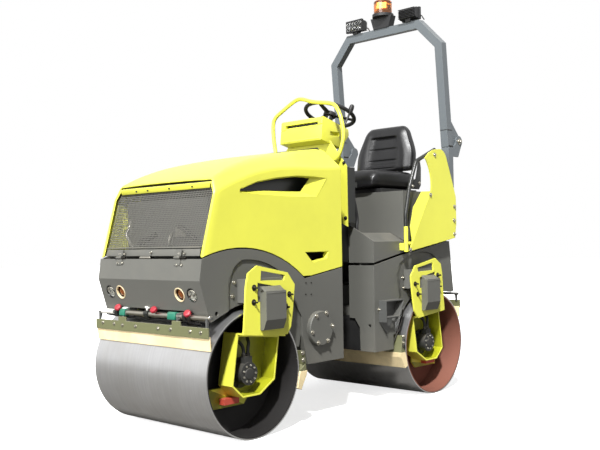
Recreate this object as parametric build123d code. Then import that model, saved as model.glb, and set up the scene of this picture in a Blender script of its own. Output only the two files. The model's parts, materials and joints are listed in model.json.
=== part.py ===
from build123d import *
import os
from math import atan2, cos, degrees, hypot, radians, sin, sqrt, tan

# Ride-on tandem drum roller with an articulated frame.
# Millimetres. +Z up, -Y is the driving direction, +X is the machine's left-hand side.
# Everything is laid out with y = 0 midway between the drum axles and z = 0 on the ground;
# save() then shifts it so that the origin is midway along the whole machine.

os.makedirs("parts", exist_ok=True)

# ---- driving dimensions -------------------------------------------------------------------
WHEELBASE = 1450
AXLE_Y = WHEELBASE / 2

DRUM_RADIUS = 290
DRUM_WIDTH = 830
DRUM_SHELL = 12          # thickness of the rolled drum shell
DRUM_WEB = 14            # thickness of the two discs inside the drum
DRUM_WEB_X = 250         # from the middle to the outer face of each disc
DRUM_BORE = 62           # radius of the hole in each disc for the hub
DRUM_SLEEVE = 12         # wall of the sleeve between the discs

PLATE = 8                # frame plates
SKIN = 5                 # sheet covers
BODY_X = 380             # half-width over the frame plates
LINER_X = 338            # outer face of the recessed plate above each drum
SEAM = 6                 # gap between two covers
RUN = 0.3                # gap of a turning or sliding fit
DRUM_GAP = 24            # from the drum to the plates round it

PIVOT_Y = 75             # steering pin
PIVOT_Z = 420
FRONT_END_Y = -58        # rear face of the front frame
REAR_START_Y = 207       # front face of the rear frame
FRAME_BOTTOM = 286

FRONT_Y = -AXLE_Y - DRUM_RADIUS      # foremost line of the nose, level with the drum's front
NOSE_TOP = (FRONT_Y + 15, 816)       # side profile of the front apron, (y, z)
NOSE_CREASE = (FRONT_Y, 721)
NOSE_FOOT = (FRONT_Y + 58, 538)
ARCH_FRONT = 123         # edge of the side recess ahead of the axle
ARCH_Z = DRUM_RADIUS + sqrt((DRUM_RADIUS + DRUM_GAP) ** 2 - ARCH_FRONT ** 2)
NOSE_HEEL = (-AXLE_Y - ARCH_FRONT, ARCH_Z + 3)
BED_Z = 2 * DRUM_RADIUS + 42         # engine bed over the drum
BED_PLATE = 8
BED_REAR_Y = -AXLE_Y + 325

HINGE_R = 6              # hood hinge knuckle radius
HOOD_HINGE = (FRONT_Y + 11, 822)
HOOD_FOOT = (HOOD_HINGE[0] + 6, HOOD_HINGE[1])
HOOD_REAR_Y = -64
HOOD_LOW = 711           # lowest point of the hood's side
HOOD_LOW_Y = -344
SEAM_CREST = (272, 862)  # on the hood's lower edge: distance from the nose's foremost line, height
SEAM_REAR_Z = 756        # height of its rear end

DECK_SIDE_TOP = 880      # top of the deck's side skirts
FLOOR_Z = 930            # top of the deck's floor
FLOOR_X = 285            # half-width of its flat part
RISER_IN_X = 208         # inner edge of the deck's front riser
RISER_IN_TOP = 980
SEATBOX_Y = 485          # front face of the seat box
SEATBOX_TOP = 1166
SEATBOX_REAR_Y = 960
REAR_TOP = (-FRONT_Y - 60, 878)      # rear edge of the rear frame, (y, z)
REAR_LOW = (-FRONT_Y - 21, 574)
REAR_FOOT = (-FRONT_Y - 50, 570)

DASH_Y = 125             # front face of the dash panel
DASH_HALF = 270
DASH_TOP = 1293
CONSOLE_HALF = 156
CONSOLE_FRONT_Y = 66
CONSOLE_LOW = 1443
CONSOLE_TOP = 1558

WHEEL_CENTRE = (0, 310, 1622)
WHEEL_R = 147
WHEEL_RIM = 10
WHEEL_TILT = 21.5

ROPS_TUBE = 50
ROPS_X = 405             # centre of each upright
ROPS_LEAN = 4.9
ROPS_KNEE = (405, 2050)  # (x, z) where the upright turns inwards
ROPS_SHOULDER = (268, 2197)
ROPS_Y_TOP = 849         # y of the centre line at the top bar
ROPS_HINGE_Y = 1010
ROPS_HINGE_Z = 1480
ROPS_REACH = 34          # hinge plate radius
ROPS_SPLIT = 1440        # height where the folding arch meets its post

REAR_REACH = ROPS_HINGE_Y + ROPS_REACH
MID_LENGTH_Y = (REAR_REACH + NOSE_CREASE[0]) / 2


# ---- small helpers ------------------------------------------------------------------------
def save(name, *solids):
    """Write one node, moved so that the origin is midway along the machine."""
    group = [Pos(0, -MID_LENGTH_Y, 0) * s for solid in solids for s in solid.solids()]
    shape = group[0] if len(group) == 1 else Compound(children=group)
    export_step(shape, f"parts/{name}.step")


def block(x0, x1, y0, y1, z0, z1):
    """A box between two corners."""
    return Pos((x0 + x1) / 2, (y0 + y1) / 2, (z0 + z1) / 2) * Box(x1 - x0, y1 - y0, z1 - z0)


def polygon(points):
    """A flat face from its corners."""
    return make_face(Polyline(*points, close=True))


def plate_x(profile, x0, x1):
    """Extrude a face drawn in (y, z), or its corners, from x0 to x1."""
    face = polygon(profile) if isinstance(profile, (list, tuple)) else profile
    return extrude(Plane.YZ.offset(x0) * face, amount=x1 - x0)


def plate_y(profile, y0, y1):
    """Extrude a face drawn in (x, z), or its corners, from y0 to y1."""
    face = polygon(profile) if isinstance(profile, (list, tuple)) else profile
    plane = Plane(origin=(0, y0, 0), x_dir=(1, 0, 0), z_dir=(0, -1, 0))
    return extrude(plane * face, amount=-(y1 - y0))


def plate_z(profile, z0, z1):
    """Extrude a face drawn in (x, y), or its corners, from z0 to z1."""
    face = polygon(profile) if isinstance(profile, (list, tuple)) else profile
    return extrude(Plane.XY.offset(z0) * face, amount=z1 - z0)


def bar_x(r, x0, x1, y, z):
    """A round bar along X."""
    return Pos((x0 + x1) / 2, y, z) * Rot(0, 90, 0) * Cylinder(r, x1 - x0)


def bar_y(r, y0, y1, x, z):
    """A round bar along Y."""
    return Pos(x, (y0 + y1) / 2, z) * Rot(90, 0, 0) * Cylinder(r, y1 - y0)


def bar_z(r, z0, z1, x, y):
    """A round bar along Z."""
    return Pos(x, y, (z0 + z1) / 2) * Cylinder(r, z1 - z0)


def in_place(shape):
    """The piece where it was drawn: at the front, or on the left."""
    return shape


def flip_x(shape):
    """The same piece on the other side of the machine."""
    return mirror(shape, about=Plane.YZ)


def flip_y(shape):
    """The same piece at the other end of the machine."""
    return mirror(shape, about=Plane.XZ)


def tube(points, bend, radius, wall=0):
    """A round tube along a path with bent corners."""
    path = FilletPolyline(*points, radius=bend) if len(points) > 2 else Line(*points)
    ring = Circle(radius) if not wall else Circle(radius) - Circle(radius - wall)
    return sweep(path.location_at(0) * ring, path=path)


# ---- drums --------------------------------------------------------------------------------
def drum():
    """Rolled shell with two inner discs and stiffening rings, its axis along X."""
    half = DRUM_WIDTH / 2
    bore_r = DRUM_RADIUS - DRUM_SHELL
    profile = polygon([(bore_r, -half), (DRUM_RADIUS, -half), (DRUM_RADIUS, half), (bore_r, half)])
    shell = revolve(profile, axis=Axis.Y)
    disc = Cylinder(bore_r, DRUM_WEB) - Cylinder(DRUM_BORE, DRUM_WEB)
    discs = [Rot(90, 0, 0) * Pos(0, 0, s * (DRUM_WEB_X - DRUM_WEB / 2)) * disc for s in (-1, 1)]
    length = 2 * DRUM_WEB_X
    sleeve = Rot(90, 0, 0) * (Cylinder(DRUM_BORE + DRUM_SLEEVE, length) - Cylinder(DRUM_BORE, length))
    body = shell + discs[0] + discs[1] + sleeve
    return Rot(0, 0, 90) * body


for name, y in (("drum_front", -AXLE_Y), ("drum_rear", AXLE_Y)):
    save(name, Pos(0, y, DRUM_RADIUS) * drum())


# ---- yokes that carry the drums -----------------------------------------------------------
YOKE_X = 425             # inner face of the yoke's outer plate
YOKE_PLATE = 8
YOKE_OUT_X = YOKE_X + YOKE_PLATE
SHAFT_HOLE_R = 46
CHANNEL_X = 300          # inner face of the channel inside the drum
CHANNEL_OUT_X = 392
# the rest is measured from the axle: y towards the machine's middle, z upwards
SHELF_FRONT = (-84, 192) # top of the sloping shelf, (y, z)
SHELF_BACK = (182, 165)
BOX_Y0, BOX_Y1 = 20, 150 # isolator box
BOX_Z0, BOX_Z1 = 198, 374
BOX_OUT_X = 474
BOX_FOOT = 46            # height of the box's sloping foot
LINK_Y0, LINK_Y1 = -60, 228
LINK_Z0, LINK_Z1 = 324, 430
WINDOW_GAP = 14
PAD = ((-173, -58), (70, -58), (70, -114), (36, -150), (-173, -150))   # plate below the channel, (y, z)
STOP_Y = (-115, -25)     # rubber stop on that plate
STOP_Z = (-132, -104)
STOP_X = 35              # and its thickness


def from_axle(points):
    """Move (y, z) points given from the front axle into the machine's frame."""
    return [(y - AXLE_Y, z + DRUM_RADIUS) for y, z in points]


def yoke_front_left():
    """Outer plate, shelf and channel of one yoke, bent from one sheet."""
    (f_y, f_z), (b_y, b_z) = SHELF_FRONT, SHELF_BACK
    outline = from_axle([(f_y, f_z), (f_y + 8, 270), (-66, 400), (-52, 456), (4, 490), (204, 452),
                         (252, 394), (236, 270), (222, b_z + 34), (b_y + 16, b_z), (b_y, b_z)])
    outer = plate_x(outline, YOKE_X, YOKE_OUT_X)
    slot = plate_x(from_axle([(34, 464), (184, 437), (34, 426)]), YOKE_X, YOKE_OUT_X)
    w0, w1 = BOX_Y0 - WINDOW_GAP, BOX_Y1 + WINDOW_GAP
    window = plate_x(from_axle([(w0, 412), (w1, 384), (w1, LINK_Z0), (w0, LINK_Z0)]), YOKE_X, YOKE_OUT_X)
    shelf = plate_x(from_axle([(f_y, f_z), (b_y, b_z), (b_y, b_z - YOKE_PLATE), (f_y, f_z - YOKE_PLATE)]),
                    CHANNEL_X, YOKE_OUT_X)
    channel = from_axle([(f_y, f_z - YOKE_PLATE), (b_y, b_z - YOKE_PLATE), (150, -42), (54, -100),
                         (-54, -100), (-120, -42)])
    web = plate_x(channel, CHANNEL_X, CHANNEL_X + YOKE_PLATE)
    rim = plate_x(channel, CHANNEL_X, CHANNEL_OUT_X)
    pocket = plate_x(offset(polygon(channel), amount=-YOKE_PLATE), CHANNEL_X, CHANNEL_OUT_X)
    hole = bar_x(SHAFT_HOLE_R, CHANNEL_X - 1, CHANNEL_X + YOKE_PLATE + 1, -AXLE_Y, DRUM_RADIUS)
    pad = plate_x(from_axle(PAD), CHANNEL_X - YOKE_PLATE, CHANNEL_X)
    return (outer - slot - window) + shelf + web + (rim - pocket) - hole + pad


def stop_front_left():
    """Rubber stop on the plate below the channel."""
    (y0, z0), (y1, z1) = from_axle(zip(STOP_Y, STOP_Z))
    return block(CHANNEL_X, CHANNEL_X + STOP_X, y0, y1, z0, z1)


def isolator_front_left():
    """Link block on the frame, its neck through the yoke's window and the box outside."""
    (link_y0, link_z0), (link_y1, link_z1) = from_axle([(LINK_Y0, LINK_Z0), (LINK_Y1, LINK_Z1)])
    (y0, z0), (y1, z1) = from_axle([(BOX_Y0, BOX_Z0), (BOX_Y1, BOX_Z1)])
    link = block(LINER_X, YOKE_X, link_y0, link_y1, link_z0, link_z1)
    neck = block(YOKE_X, YOKE_OUT_X, y0, y1, link_z0, z1)
    box = plate_y([(YOKE_OUT_X, z0), (BOX_OUT_X - 20, z0), (BOX_OUT_X, z0 + BOX_FOOT), (BOX_OUT_X, z1),
                   (YOKE_OUT_X, z1)], y0, y1)
    return link + neck + box


MOTOR_FLANGE_R = 70
MOTOR_FLANGE = 12
MOTOR_R = 52
HUB = 60                 # how far the hub reaches into the drum's sleeve


def motor_front_left():
    """Hub motor: flange on the channel's web, body outside it, shaft into the drum."""
    a = -AXLE_Y
    z = DRUM_RADIUS
    web_x = CHANNEL_X + YOKE_PLATE
    flange = bar_x(MOTOR_FLANGE_R, web_x, web_x + MOTOR_FLANGE, a, z)
    case = bar_x(MOTOR_R, web_x + MOTOR_FLANGE, CHANNEL_OUT_X - 14, a, z)
    port = block(web_x + 32, CHANNEL_OUT_X - 18, a - 22, a + 22, z + 40, z + 78)
    shaft = bar_x(SHAFT_HOLE_R - 1, DRUM_WEB_X - HUB, web_x, a, z)
    hub = bar_x(DRUM_BORE - RUN, DRUM_WEB_X - HUB, DRUM_WEB_X - 8, a, z)
    return flange + case + port + shaft + hub


ENDS = (("front", in_place), ("rear", flip_y))
SIDES = (("left", in_place), ("right", flip_x))

for end, at_end in ENDS:
    for side, at_side in SIDES:
        save(f"yoke_{end}_{side}", at_end(at_side(yoke_front_left())))
    save(f"isolators_{end}", *[at_end(at_side(isolator_front_left())) for _, at_side in SIDES])
    save(f"yoke_stops_{end}", *[at_end(at_side(stop_front_left())) for _, at_side in SIDES])
    save(f"hub_motors_{end}", *[at_end(at_side(motor_front_left())) for _, at_side in SIDES])


# ---- side walls shared by both frames -----------------------------------------------------
CARRIER_TOP = 362        # top of the inner scraper's carrier
CARRIER_FOOT = 268       # and its underside
CARRIER_REACH = 27       # from the bed's rear edge towards the drum
CARRIER_PLATE = 8
NOTCH_GAP = 6
# the recess's inner edge from its top downwards: (towards the machine's middle from the axle, z)
RECESS_EDGES = {
    "front": ((261, 708), (301, 605), (356, 520), (356, 433), (394, FRAME_BOTTOM)),
    "rear": ((285, 754), (315, 691), (291, 574), (330, 500), (330, 400), (325, FRAME_BOTTOM)),
}


def recess_face(end):
    """The opening in a side skin above a drum, in the front frame's (y, z), open at the bottom."""
    a = -AXLE_Y
    low = FRAME_BOTTOM - 60
    inner = [(a + y, z) for y, z in RECESS_EDGES[end]]
    top, foot = inner[0], inner[-1]
    edge = [Line((a - ARCH_FRONT, low), (a - ARCH_FRONT, 668)),
            ThreePointArc((a - ARCH_FRONT, 668), (a - 94, 766), (a - 40, 806)),
            ThreePointArc((a - 40, 806), ((a - 40 + top[0]) / 2, (806 + top[1]) / 2 + 33), top),
            Polyline(*inner, (foot[0], low), (a - ARCH_FRONT, low))]
    return make_face(edge)


def drum_room():
    """The circle that the frame's plates keep clear of, in (y, z)."""
    return Pos(-AXLE_Y, DRUM_RADIUS) * Circle(DRUM_RADIUS + DRUM_GAP)


def scraper_notch():
    """Room in the side plates for the scraper between drum and frame."""
    return block(0, BODY_X + 1, BED_REAR_Y - CARRIER_REACH - DRUM_GAP, BED_REAR_Y + CARRIER_REACH - 1,
                 240, CARRIER_TOP + NOTCH_GAP)


def side_wall(outline, end):
    """Skin with its recess, the jamb round it and the recessed plate above the drum."""
    recess = recess_face(end)
    skin = plate_x(outline - recess, BODY_X - PLATE, BODY_X)
    jamb = plate_x((offset(recess, amount=PLATE) - recess) & outline, LINER_X - PLATE, BODY_X - PLATE)
    liner = plate_x((offset(recess, amount=PLATE) & outline) - drum_room(), LINER_X - PLATE, LINER_X)
    return skin + jamb + liner - scraper_notch()


def seam_edge(start_y, low=0):
    """The hood's lower edge in (y, z), or a line parallel to it and lower by the seam."""
    start = (start_y, HOOD_HINGE[1] - low)
    crest, dip = (FRONT_Y + SEAM_CREST[0], SEAM_CREST[1] - low), (HOOD_LOW_Y, HOOD_LOW - low)
    return [ThreePointArc(start, crest, dip), Line(dip, (FRONT_END_Y, SEAM_REAR_Z - low))]


# ---- front frame --------------------------------------------------------------------------
NOSE_HOLE = (FRONT_Y + 97, 575, 10)  # y, z, radius
BED_LIP = (FRONT_Y + 75, 582)        # front edge of the bed's dropped part, (y, z)
NOSE_HEEL_IN = (NOSE_HEEL[0], BED_Z)
GUARD_KNEE = 470         # height where the drum guard starts to slope
GUARD_SLOPE = 18         # how far its foot comes back from there
GUARD_FOOT = FRAME_BOTTOM + 10
LUG_X = 62
LUG_PLATE = 20
LUG_Z = 76               # from the pivot's middle to each lug's middle
PIN_R = 25
CYL_X = 150              # steering cylinder, to the left of the pivot
CYL_Z = PIVOT_Z
CYL_BASE_Y = BED_REAR_Y + 48
CYL_R = 28
ROD_R = 13
CYL_PIN_R = 12
EYE = 15                 # half the height of an eye
EAR = 11                 # plates on either side of the eye
EAR_GAP = 1
EAR_R = 30
CYL_WINDOW = 76          # half the width of the bulkhead's opening round the cylinder
CYL_WINDOW_Z = 62        # and half its height
BULKHEAD_TOP = 745


def front_outline():
    """Side profile of the front frame behind the apron, in (y, z)."""
    a = -AXLE_Y
    shift = SKIN
    seam = seam_edge(NOSE_TOP[0] + shift, SEAM)
    end = (FRONT_END_Y, SEAM_REAR_Z - SEAM)
    nose = [(NOSE_TOP[0] + shift, NOSE_TOP[1]), (NOSE_CREASE[0] + shift, NOSE_CREASE[1]),
            (NOSE_FOOT[0] + shift, NOSE_FOOT[1])]
    rest = Polyline(end, (FRONT_END_Y, FRAME_BOTTOM), (a - ARCH_FRONT, FRAME_BOTTOM), NOSE_HEEL,
                    nose[2], nose[1], nose[0])
    return make_face([*seam, rest])


def drum_bed():
    """Plate over the drum, dropped towards the machine's outer end."""
    bed = block(-LINER_X, LINER_X, -AXLE_Y - ARCH_FRONT, BED_REAR_Y, BED_Z, BED_Z + BED_PLATE)
    y, z = BED_LIP
    return bed + plate_x([BED_LIP, NOSE_HEEL_IN, (NOSE_HEEL_IN[0], BED_Z + BED_PLATE), (y, z + BED_PLATE)],
                         -BODY_X + PLATE, BODY_X - PLATE)


def guard_face(z):
    """y of the drum side of that plate's sloping foot."""
    return BED_REAR_Y - PLATE + (GUARD_KNEE - z) * GUARD_SLOPE / (GUARD_KNEE - GUARD_FOOT)


def drum_guard():
    """Plate behind the drum, from the bed down to the frame's bottom."""
    y = BED_REAR_Y
    foot = GUARD_FOOT
    return plate_x([(y - PLATE, BED_Z), (y - PLATE, GUARD_KNEE), (guard_face(foot), foot),
                    (guard_face(foot) + PLATE, foot), (y, GUARD_KNEE), (y, BED_Z)], -LINER_X, LINER_X)


def front_side_plate():
    """Left-hand side wall with the bore for a lashing shackle near the nose."""
    y, z, r = NOSE_HOLE
    return side_wall(front_outline(), "front") - bar_x(r, BODY_X - PLATE - 1, BODY_X + 1, y, z)


def cylinder_foot():
    """Two ears and a pin behind the drum guard for the steering cylinder."""
    low, high = CYL_Z - EYE - EAR_GAP, CYL_Z + EYE + EAR_GAP
    foot = bar_z(CYL_PIN_R, low - EAR, high + EAR, CYL_X, CYL_BASE_Y)
    for z0, z1 in ((low - EAR, low), (high, high + EAR)):
        foot = foot + block(CYL_X - EAR_R, CYL_X + EAR_R, BED_REAR_Y, CYL_BASE_Y, z0, z1)
        foot = foot + bar_z(EAR_R, z0, z1, CYL_X, CYL_BASE_Y)
    return foot


def front_bulkhead():
    """Rear plate of the front frame with the cylinder's window and the two steering lugs."""
    in_x = BODY_X - PLATE
    bulkhead = block(-in_x, in_x, FRONT_END_Y - PLATE, FRONT_END_Y, FRAME_BOTTOM, BULKHEAD_TOP)
    window = block(CYL_X + 10 - CYL_WINDOW, CYL_X + 10 + CYL_WINDOW, FRONT_END_Y - 2 * PLATE,
                   FRONT_END_Y + PLATE, CYL_Z - CYL_WINDOW_Z, CYL_Z + CYL_WINDOW_Z)
    bulkhead = bulkhead - window - flip_x(window)
    for z in (PIVOT_Z - LUG_Z, PIVOT_Z + LUG_Z):
        lug = block(-LUG_X, LUG_X, FRONT_END_Y, PIVOT_Y, z - LUG_PLATE / 2, z + LUG_PLATE / 2)
        lug = lug + bar_z(LUG_X, z - LUG_PLATE / 2, z + LUG_PLATE / 2, 0, PIVOT_Y)
        bulkhead = bulkhead + (lug - bar_z(PIN_R + RUN, z - LUG_PLATE, z + LUG_PLATE, 0, PIVOT_Y))
    return bulkhead


front_walls = (front_side_plate(), flip_x(front_side_plate()))
save("front_side_plates", *front_walls)
save("front_bed", drum_bed() + drum_guard() + cylinder_foot() - front_walls[0] - front_walls[1])
save("front_bulkhead", front_bulkhead())


# ---- apron under the grille, with its lamps ------------------------------------------------
LAMP_Z = 657
LAMP_R = 33
LAMPS = (("headlamps", 305), ("indicators", 221))    # name, distance from the middle
APRON_SLOT_X = 278
APRON_SLOT_Z = 584


def apron_angle():
    """Lean of the apron's lower facet, from the vertical."""
    return degrees(atan2(NOSE_FOOT[0] - NOSE_CREASE[0], NOSE_CREASE[1] - NOSE_FOOT[1]))


def on_apron(x):
    """Place on the lower facet at the lamps' height, its Z axis along the facet's outward normal."""
    share = (NOSE_CREASE[1] - LAMP_Z) / (NOSE_CREASE[1] - NOSE_FOOT[1])
    y = NOSE_CREASE[0] + share * (NOSE_FOOT[0] - NOSE_CREASE[0])
    return Pos(x, y, LAMP_Z) * Rot(90 + apron_angle(), 0, 0)


def apron():
    """Folded sheet with four lamp holes and a long notch in its lower edge."""
    outer = [NOSE_TOP, NOSE_CREASE, NOSE_FOOT]
    inner = [(y + SKIN, z) for y, z in reversed(outer)]
    sheet = plate_x(outer + inner, -BODY_X, BODY_X)
    for _, x in LAMPS:
        for side in (-1, 1):
            sheet = sheet - on_apron(side * x) * Cylinder(LAMP_R, 60)
    return sheet - block(-APRON_SLOT_X, APRON_SLOT_X, -1100, -900, 500, APRON_SLOT_Z)


def lamp(x):
    """Round lamp: can, rim and a lens a little inside the apron."""
    can = Pos(0, 0, -30) * Cylinder(LAMP_R - 1, 50)
    rim = Pos(0, 0, -1) * (Cylinder(LAMP_R + 4, 3) - Cylinder(LAMP_R - 7, 3))
    collar = Pos(0, 0, -4) * (Cylinder(LAMP_R - RUN, 8) - Cylinder(LAMP_R - 7, 8))
    return on_apron(x) * (can + collar + Pos(0, 0, 2.5) * rim)


save("apron", apron())
for name, x in LAMPS:
    save(name, lamp(x), lamp(-x))


# ---- hood ---------------------------------------------------------------------------------
# stations along the hood: distance from the nose's foremost line, height of the side crease,
# height of the roof, half-width of the roof
HOOD_STATIONS = (
    (5, 1062, 1112, 350),
    (102, 1112, 1168, 345),
    (204, 1154, 1222, 338),
    (324, 1199, 1270, 325),
    (449, 1230, 1309, 310),
    (581, 1243, 1342, 292),
    (765, 1250, 1366, 266),
    (HOOD_REAR_Y - FRONT_Y, 1256, 1394, 243),
)
HOOD_OPEN_Z = 650                  # the skin is drawn down to here, then trimmed by the seam
HOOD_FRONT_TOP = (FRONT_Y + 84, 1157)  # front edge of the roof, (y, z)
GRILLE_LOW_Z, GRILLE_TOP_Z = 829, 1124
GRILLE_LOW_X, GRILLE_TOP_X = 356, 341  # half-widths of its opening
GRILLE_SET = 20                    # how far the grille lies behind the hood's front
GRILLE_SHEET = 4
GRILLE_STRIP = 36                  # plain strip along its lower edge
VENT_DEPTH = 20
VENT_WALL = 3                      # of its funnel, behind the skin
# side vents, (distance from the nose's foremost line, height): corners of the opening in the
# skin, and of the smaller opening at the funnel's inner end; "over" and "under" are the
# middles of the long curved edges
BIG_VENT = {
    "outer": dict(tip=((246, 1113), (242, 1121)), over=(430, 1190), top=(647, 1205), rear=(715, 1203),
                  low=(639, 1126), under=(455, 1128)),
    "inner": dict(tip=((300, 1134), (296, 1140)), over=(436, 1182), top=(640, 1196), rear=(690, 1194),
                  low=(631, 1142), under=(462, 1143)),
}
SMALL_VENT = {
    "outer": ((675, 833), (833, 836), (819, 797), (728, 780)),
    "inner": ((688, 831), (819, 833), (808, 808), (730, 793)),
}


def hood_block(inset):
    """The hood's outer form, or the same form inset by a skin."""
    sections = []
    for from_nose, crease, roof, half in HOOD_STATIONS:
        x = BODY_X - inset
        h = half - inset * 0.4
        corners = [(-x, HOOD_OPEN_Z), (-x, crease - inset * 0.4), (-h, roof - inset), (h, roof - inset),
                   (x, crease - inset * 0.4), (x, HOOD_OPEN_Z)]
        plane = Plane(origin=(0, FRONT_Y + from_nose, 0), x_dir=(1, 0, 0), z_dir=(0, -1, 0))
        sections.append(plane * polygon(corners))
    return loft(sections, ruled=True)


def front_line(z, back=0):
    """y of the hood's sloping front at a height, or of a plane behind it."""
    (y0, z0), (y1, z1) = HOOD_FOOT, HOOD_FRONT_TOP
    return y0 + (z - z0) * (y1 - y0) / (z1 - z0) + back


def front_slice(z0, z1, back, thick, half0, half1):
    """A sheet parallel to the hood's front between two heights, half0 wide at z0, half1 at z1."""
    lean = degrees(atan2(front_line(1000) - front_line(900), 100))
    length = (z1 - z0) / cos(radians(lean))
    face = polygon([(-half0, 0), (half0, 0), (half1, length), (-half1, length)])
    normal = (0, -cos(radians(lean)), sin(radians(lean)))
    plane = Plane(origin=(0, front_line(z0, back), z0), x_dir=(1, 0, 0), z_dir=normal)
    return extrude(plane * face, amount=-thick)


def hood_points(points):
    """Points given from the nose's foremost line, in the machine's (y, z)."""
    return [(FRONT_Y + from_nose, z) for from_nose, z in points]


def big_vent(end):
    """Outline of the long fin-shaped vent high on the hood's side, in (y, z)."""
    v = BIG_VENT[end]
    tip_low, tip_high, over, top, rear, low, under = hood_points(
        [*v["tip"], v["over"], v["top"], v["rear"], v["low"], v["under"]])
    return make_face([Line(tip_low, tip_high), ThreePointArc(tip_high, over, top), Line(top, rear),
                      Line(rear, low), ThreePointArc(low, under, tip_low)])


def small_vent(end):
    """Outline of the small four-sided vent low on the hood's side, in (y, z)."""
    return polygon(hood_points(SMALL_VENT[end]))


def vent_funnel(vent):
    """Collar behind the skin round a vent, and the narrowing passage to be cut from both."""
    collar = plate_x(offset(vent("outer"), amount=VENT_WALL), BODY_X - VENT_DEPTH, BODY_X - SKIN)
    outer = Plane.YZ.offset(BODY_X) * vent("outer")
    inner = Plane.YZ.offset(BODY_X - VENT_DEPTH) * vent("inner")
    return collar, loft([outer, inner], ruled=True)


def hood():
    """Open-bottomed shell with its front flange and side vents."""
    side = BODY_X + 120
    top = HOOD_STATIONS[-1][2] + 106
    low = HOOD_OPEN_Z + 50
    roof_line = Polyline((FRONT_END_Y, SEAM_REAR_Z), (HOOD_REAR_Y, top), (HOOD_FRONT_TOP[0] + 231, top),
                         HOOD_FRONT_TOP, HOOD_FOOT)
    keep = plate_x(make_face([*seam_edge(HOOD_FOOT[0]), roof_line]), -side, side)
    rear = block(-side, side, HOOD_REAR_Y, 0, 0, top)
    solid = (hood_block(0) & keep) - rear
    front_wall = plate_x([(front_line(low), low), (front_line(top), top), (front_line(top, SKIN), top),
                          (front_line(low, SKIN), low)], -side, side)
    shell = solid - (hood_block(SKIN) - front_wall)
    shell = shell - front_slice(GRILLE_LOW_Z - 60, GRILLE_TOP_Z, -20, 60, GRILLE_LOW_X + 3, GRILLE_TOP_X)
    for vent in (big_vent, small_vent):
        collar, passage = vent_funnel(vent)
        shell = shell + collar + flip_x(collar) - passage - flip_x(passage)
    return shell


def grille():
    """Sheet behind the hood's front opening with a strip at its foot that comes forward to the hood."""
    z0, z1 = HOOD_HINGE[1] + 4, GRILLE_TOP_Z + 4
    z_mid = z0 + GRILLE_STRIP
    sheet = front_slice(z_mid - 4, z1, GRILLE_SET, GRILLE_SHEET, BODY_X - SKIN - RUN, GRILLE_TOP_X + 8)
    strip = front_slice(z0, z_mid, 0, GRILLE_SHEET, GRILLE_LOW_X - 6, GRILLE_LOW_X - 6)
    back = GRILLE_SET + 2
    fold = [(front_line(z_mid - 4), z_mid - 4), (front_line(z_mid), z_mid),
            (front_line(z_mid, back), z_mid), (front_line(z_mid - 4, back), z_mid - 4)]
    fold = plate_x(fold, -GRILLE_LOW_X + 6, GRILLE_LOW_X - 6)
    return sheet + strip + fold


save("hood", hood())
save("grille", grille())


# ---- hood hinges --------------------------------------------------------------------------
HINGE_X = 219
LEAF = 4
LEAF_HALF = 20           # half the length of a hinge
KNUCKLE_HALF = 7         # half the length of its middle knuckle


def apron_line(z):
    """y of the apron's upper facet at a height."""
    (y0, z0), (y1, z1) = NOSE_TOP, NOSE_CREASE
    return y0 + (z - z0) * (y1 - y0) / (z1 - z0)


def leaf(line, z0, z1, x0, x1):
    """A flat hinge leaf in front of a sloping sheet."""
    return plate_x([(line(z0) - LEAF, z0), (line(z0), z0), (line(z1), z1), (line(z1) - LEAF, z1)], x0, x1)


def hinge_lower(x):
    """Leaf on the apron with its two outer knuckles and the pin."""
    y, z = HOOD_HINGE
    a, b = x - LEAF_HALF, x + LEAF_HALF
    body = leaf(apron_line, z - 34, NOSE_TOP[1], a, b) + bar_x(HINGE_R / 2, a, b, y, z)
    for x0, x1 in ((a, x - KNUCKLE_HALF - 1), (x + KNUCKLE_HALF + 1, b)):
        body = body + bar_x(HINGE_R, x0, x1, y, z) + leaf(apron_line, NOSE_TOP[1], z, x0, x1)
    return body


def hinge_upper(x):
    """Leaf on the grille's foot with the middle knuckle."""
    y, z = HOOD_HINGE
    x0, x1 = x - KNUCKLE_HALF, x + KNUCKLE_HALF
    body = leaf(front_line, z + 8, z + 38, x - LEAF_HALF, x + LEAF_HALF) + leaf(front_line, z, z + 8, x0, x1)
    return body + bar_x(HINGE_R, x0, x1, y, z) - bar_x(HINGE_R / 2 + RUN, x0, x1, y, z)


save("hood_hinges_lower", hinge_lower(HINGE_X), hinge_lower(-HINGE_X))
save("hood_hinges_upper", hinge_upper(HINGE_X), hinge_upper(-HINGE_X))


# ---- engine, firewall and side covers -----------------------------------------------------
ENGINE = (200, -AXLE_Y - 95, -AXLE_Y + 425, 1080)   # half-width, front, rear, top
FIREWALL_X = 368
FIREWALL_TOP = 1380
COVER_Y, COVER_Z, COVER_R = -250, 456, 86
COVER_DEPTH = 24
COVER_EDGE = 4           # chamfer of its rim

save("engine_block", block(-ENGINE[0], ENGINE[0], ENGINE[1], ENGINE[2], BED_Z + BED_PLATE, ENGINE[3]))
save("firewall", plate_y([(-FIREWALL_X, 700), (FIREWALL_X, 700), (FIREWALL_X, 1244), (234, FIREWALL_TOP),
                          (-234, FIREWALL_TOP), (-FIREWALL_X, 1244)],
                         FRONT_END_Y - 2 * PLATE, FRONT_END_Y - PLATE))


def side_cover():
    """Round cover on the front frame's side with a chamfered rim."""
    cover = bar_x(COVER_R, BODY_X, BODY_X + COVER_DEPTH, COVER_Y, COVER_Z)
    return chamfer(cover.edges().filter_by(GeomType.CIRCLE).sort_by(Axis.X)[-1], COVER_EDGE)


save("side_covers", side_cover(), flip_x(side_cover()))


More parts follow.
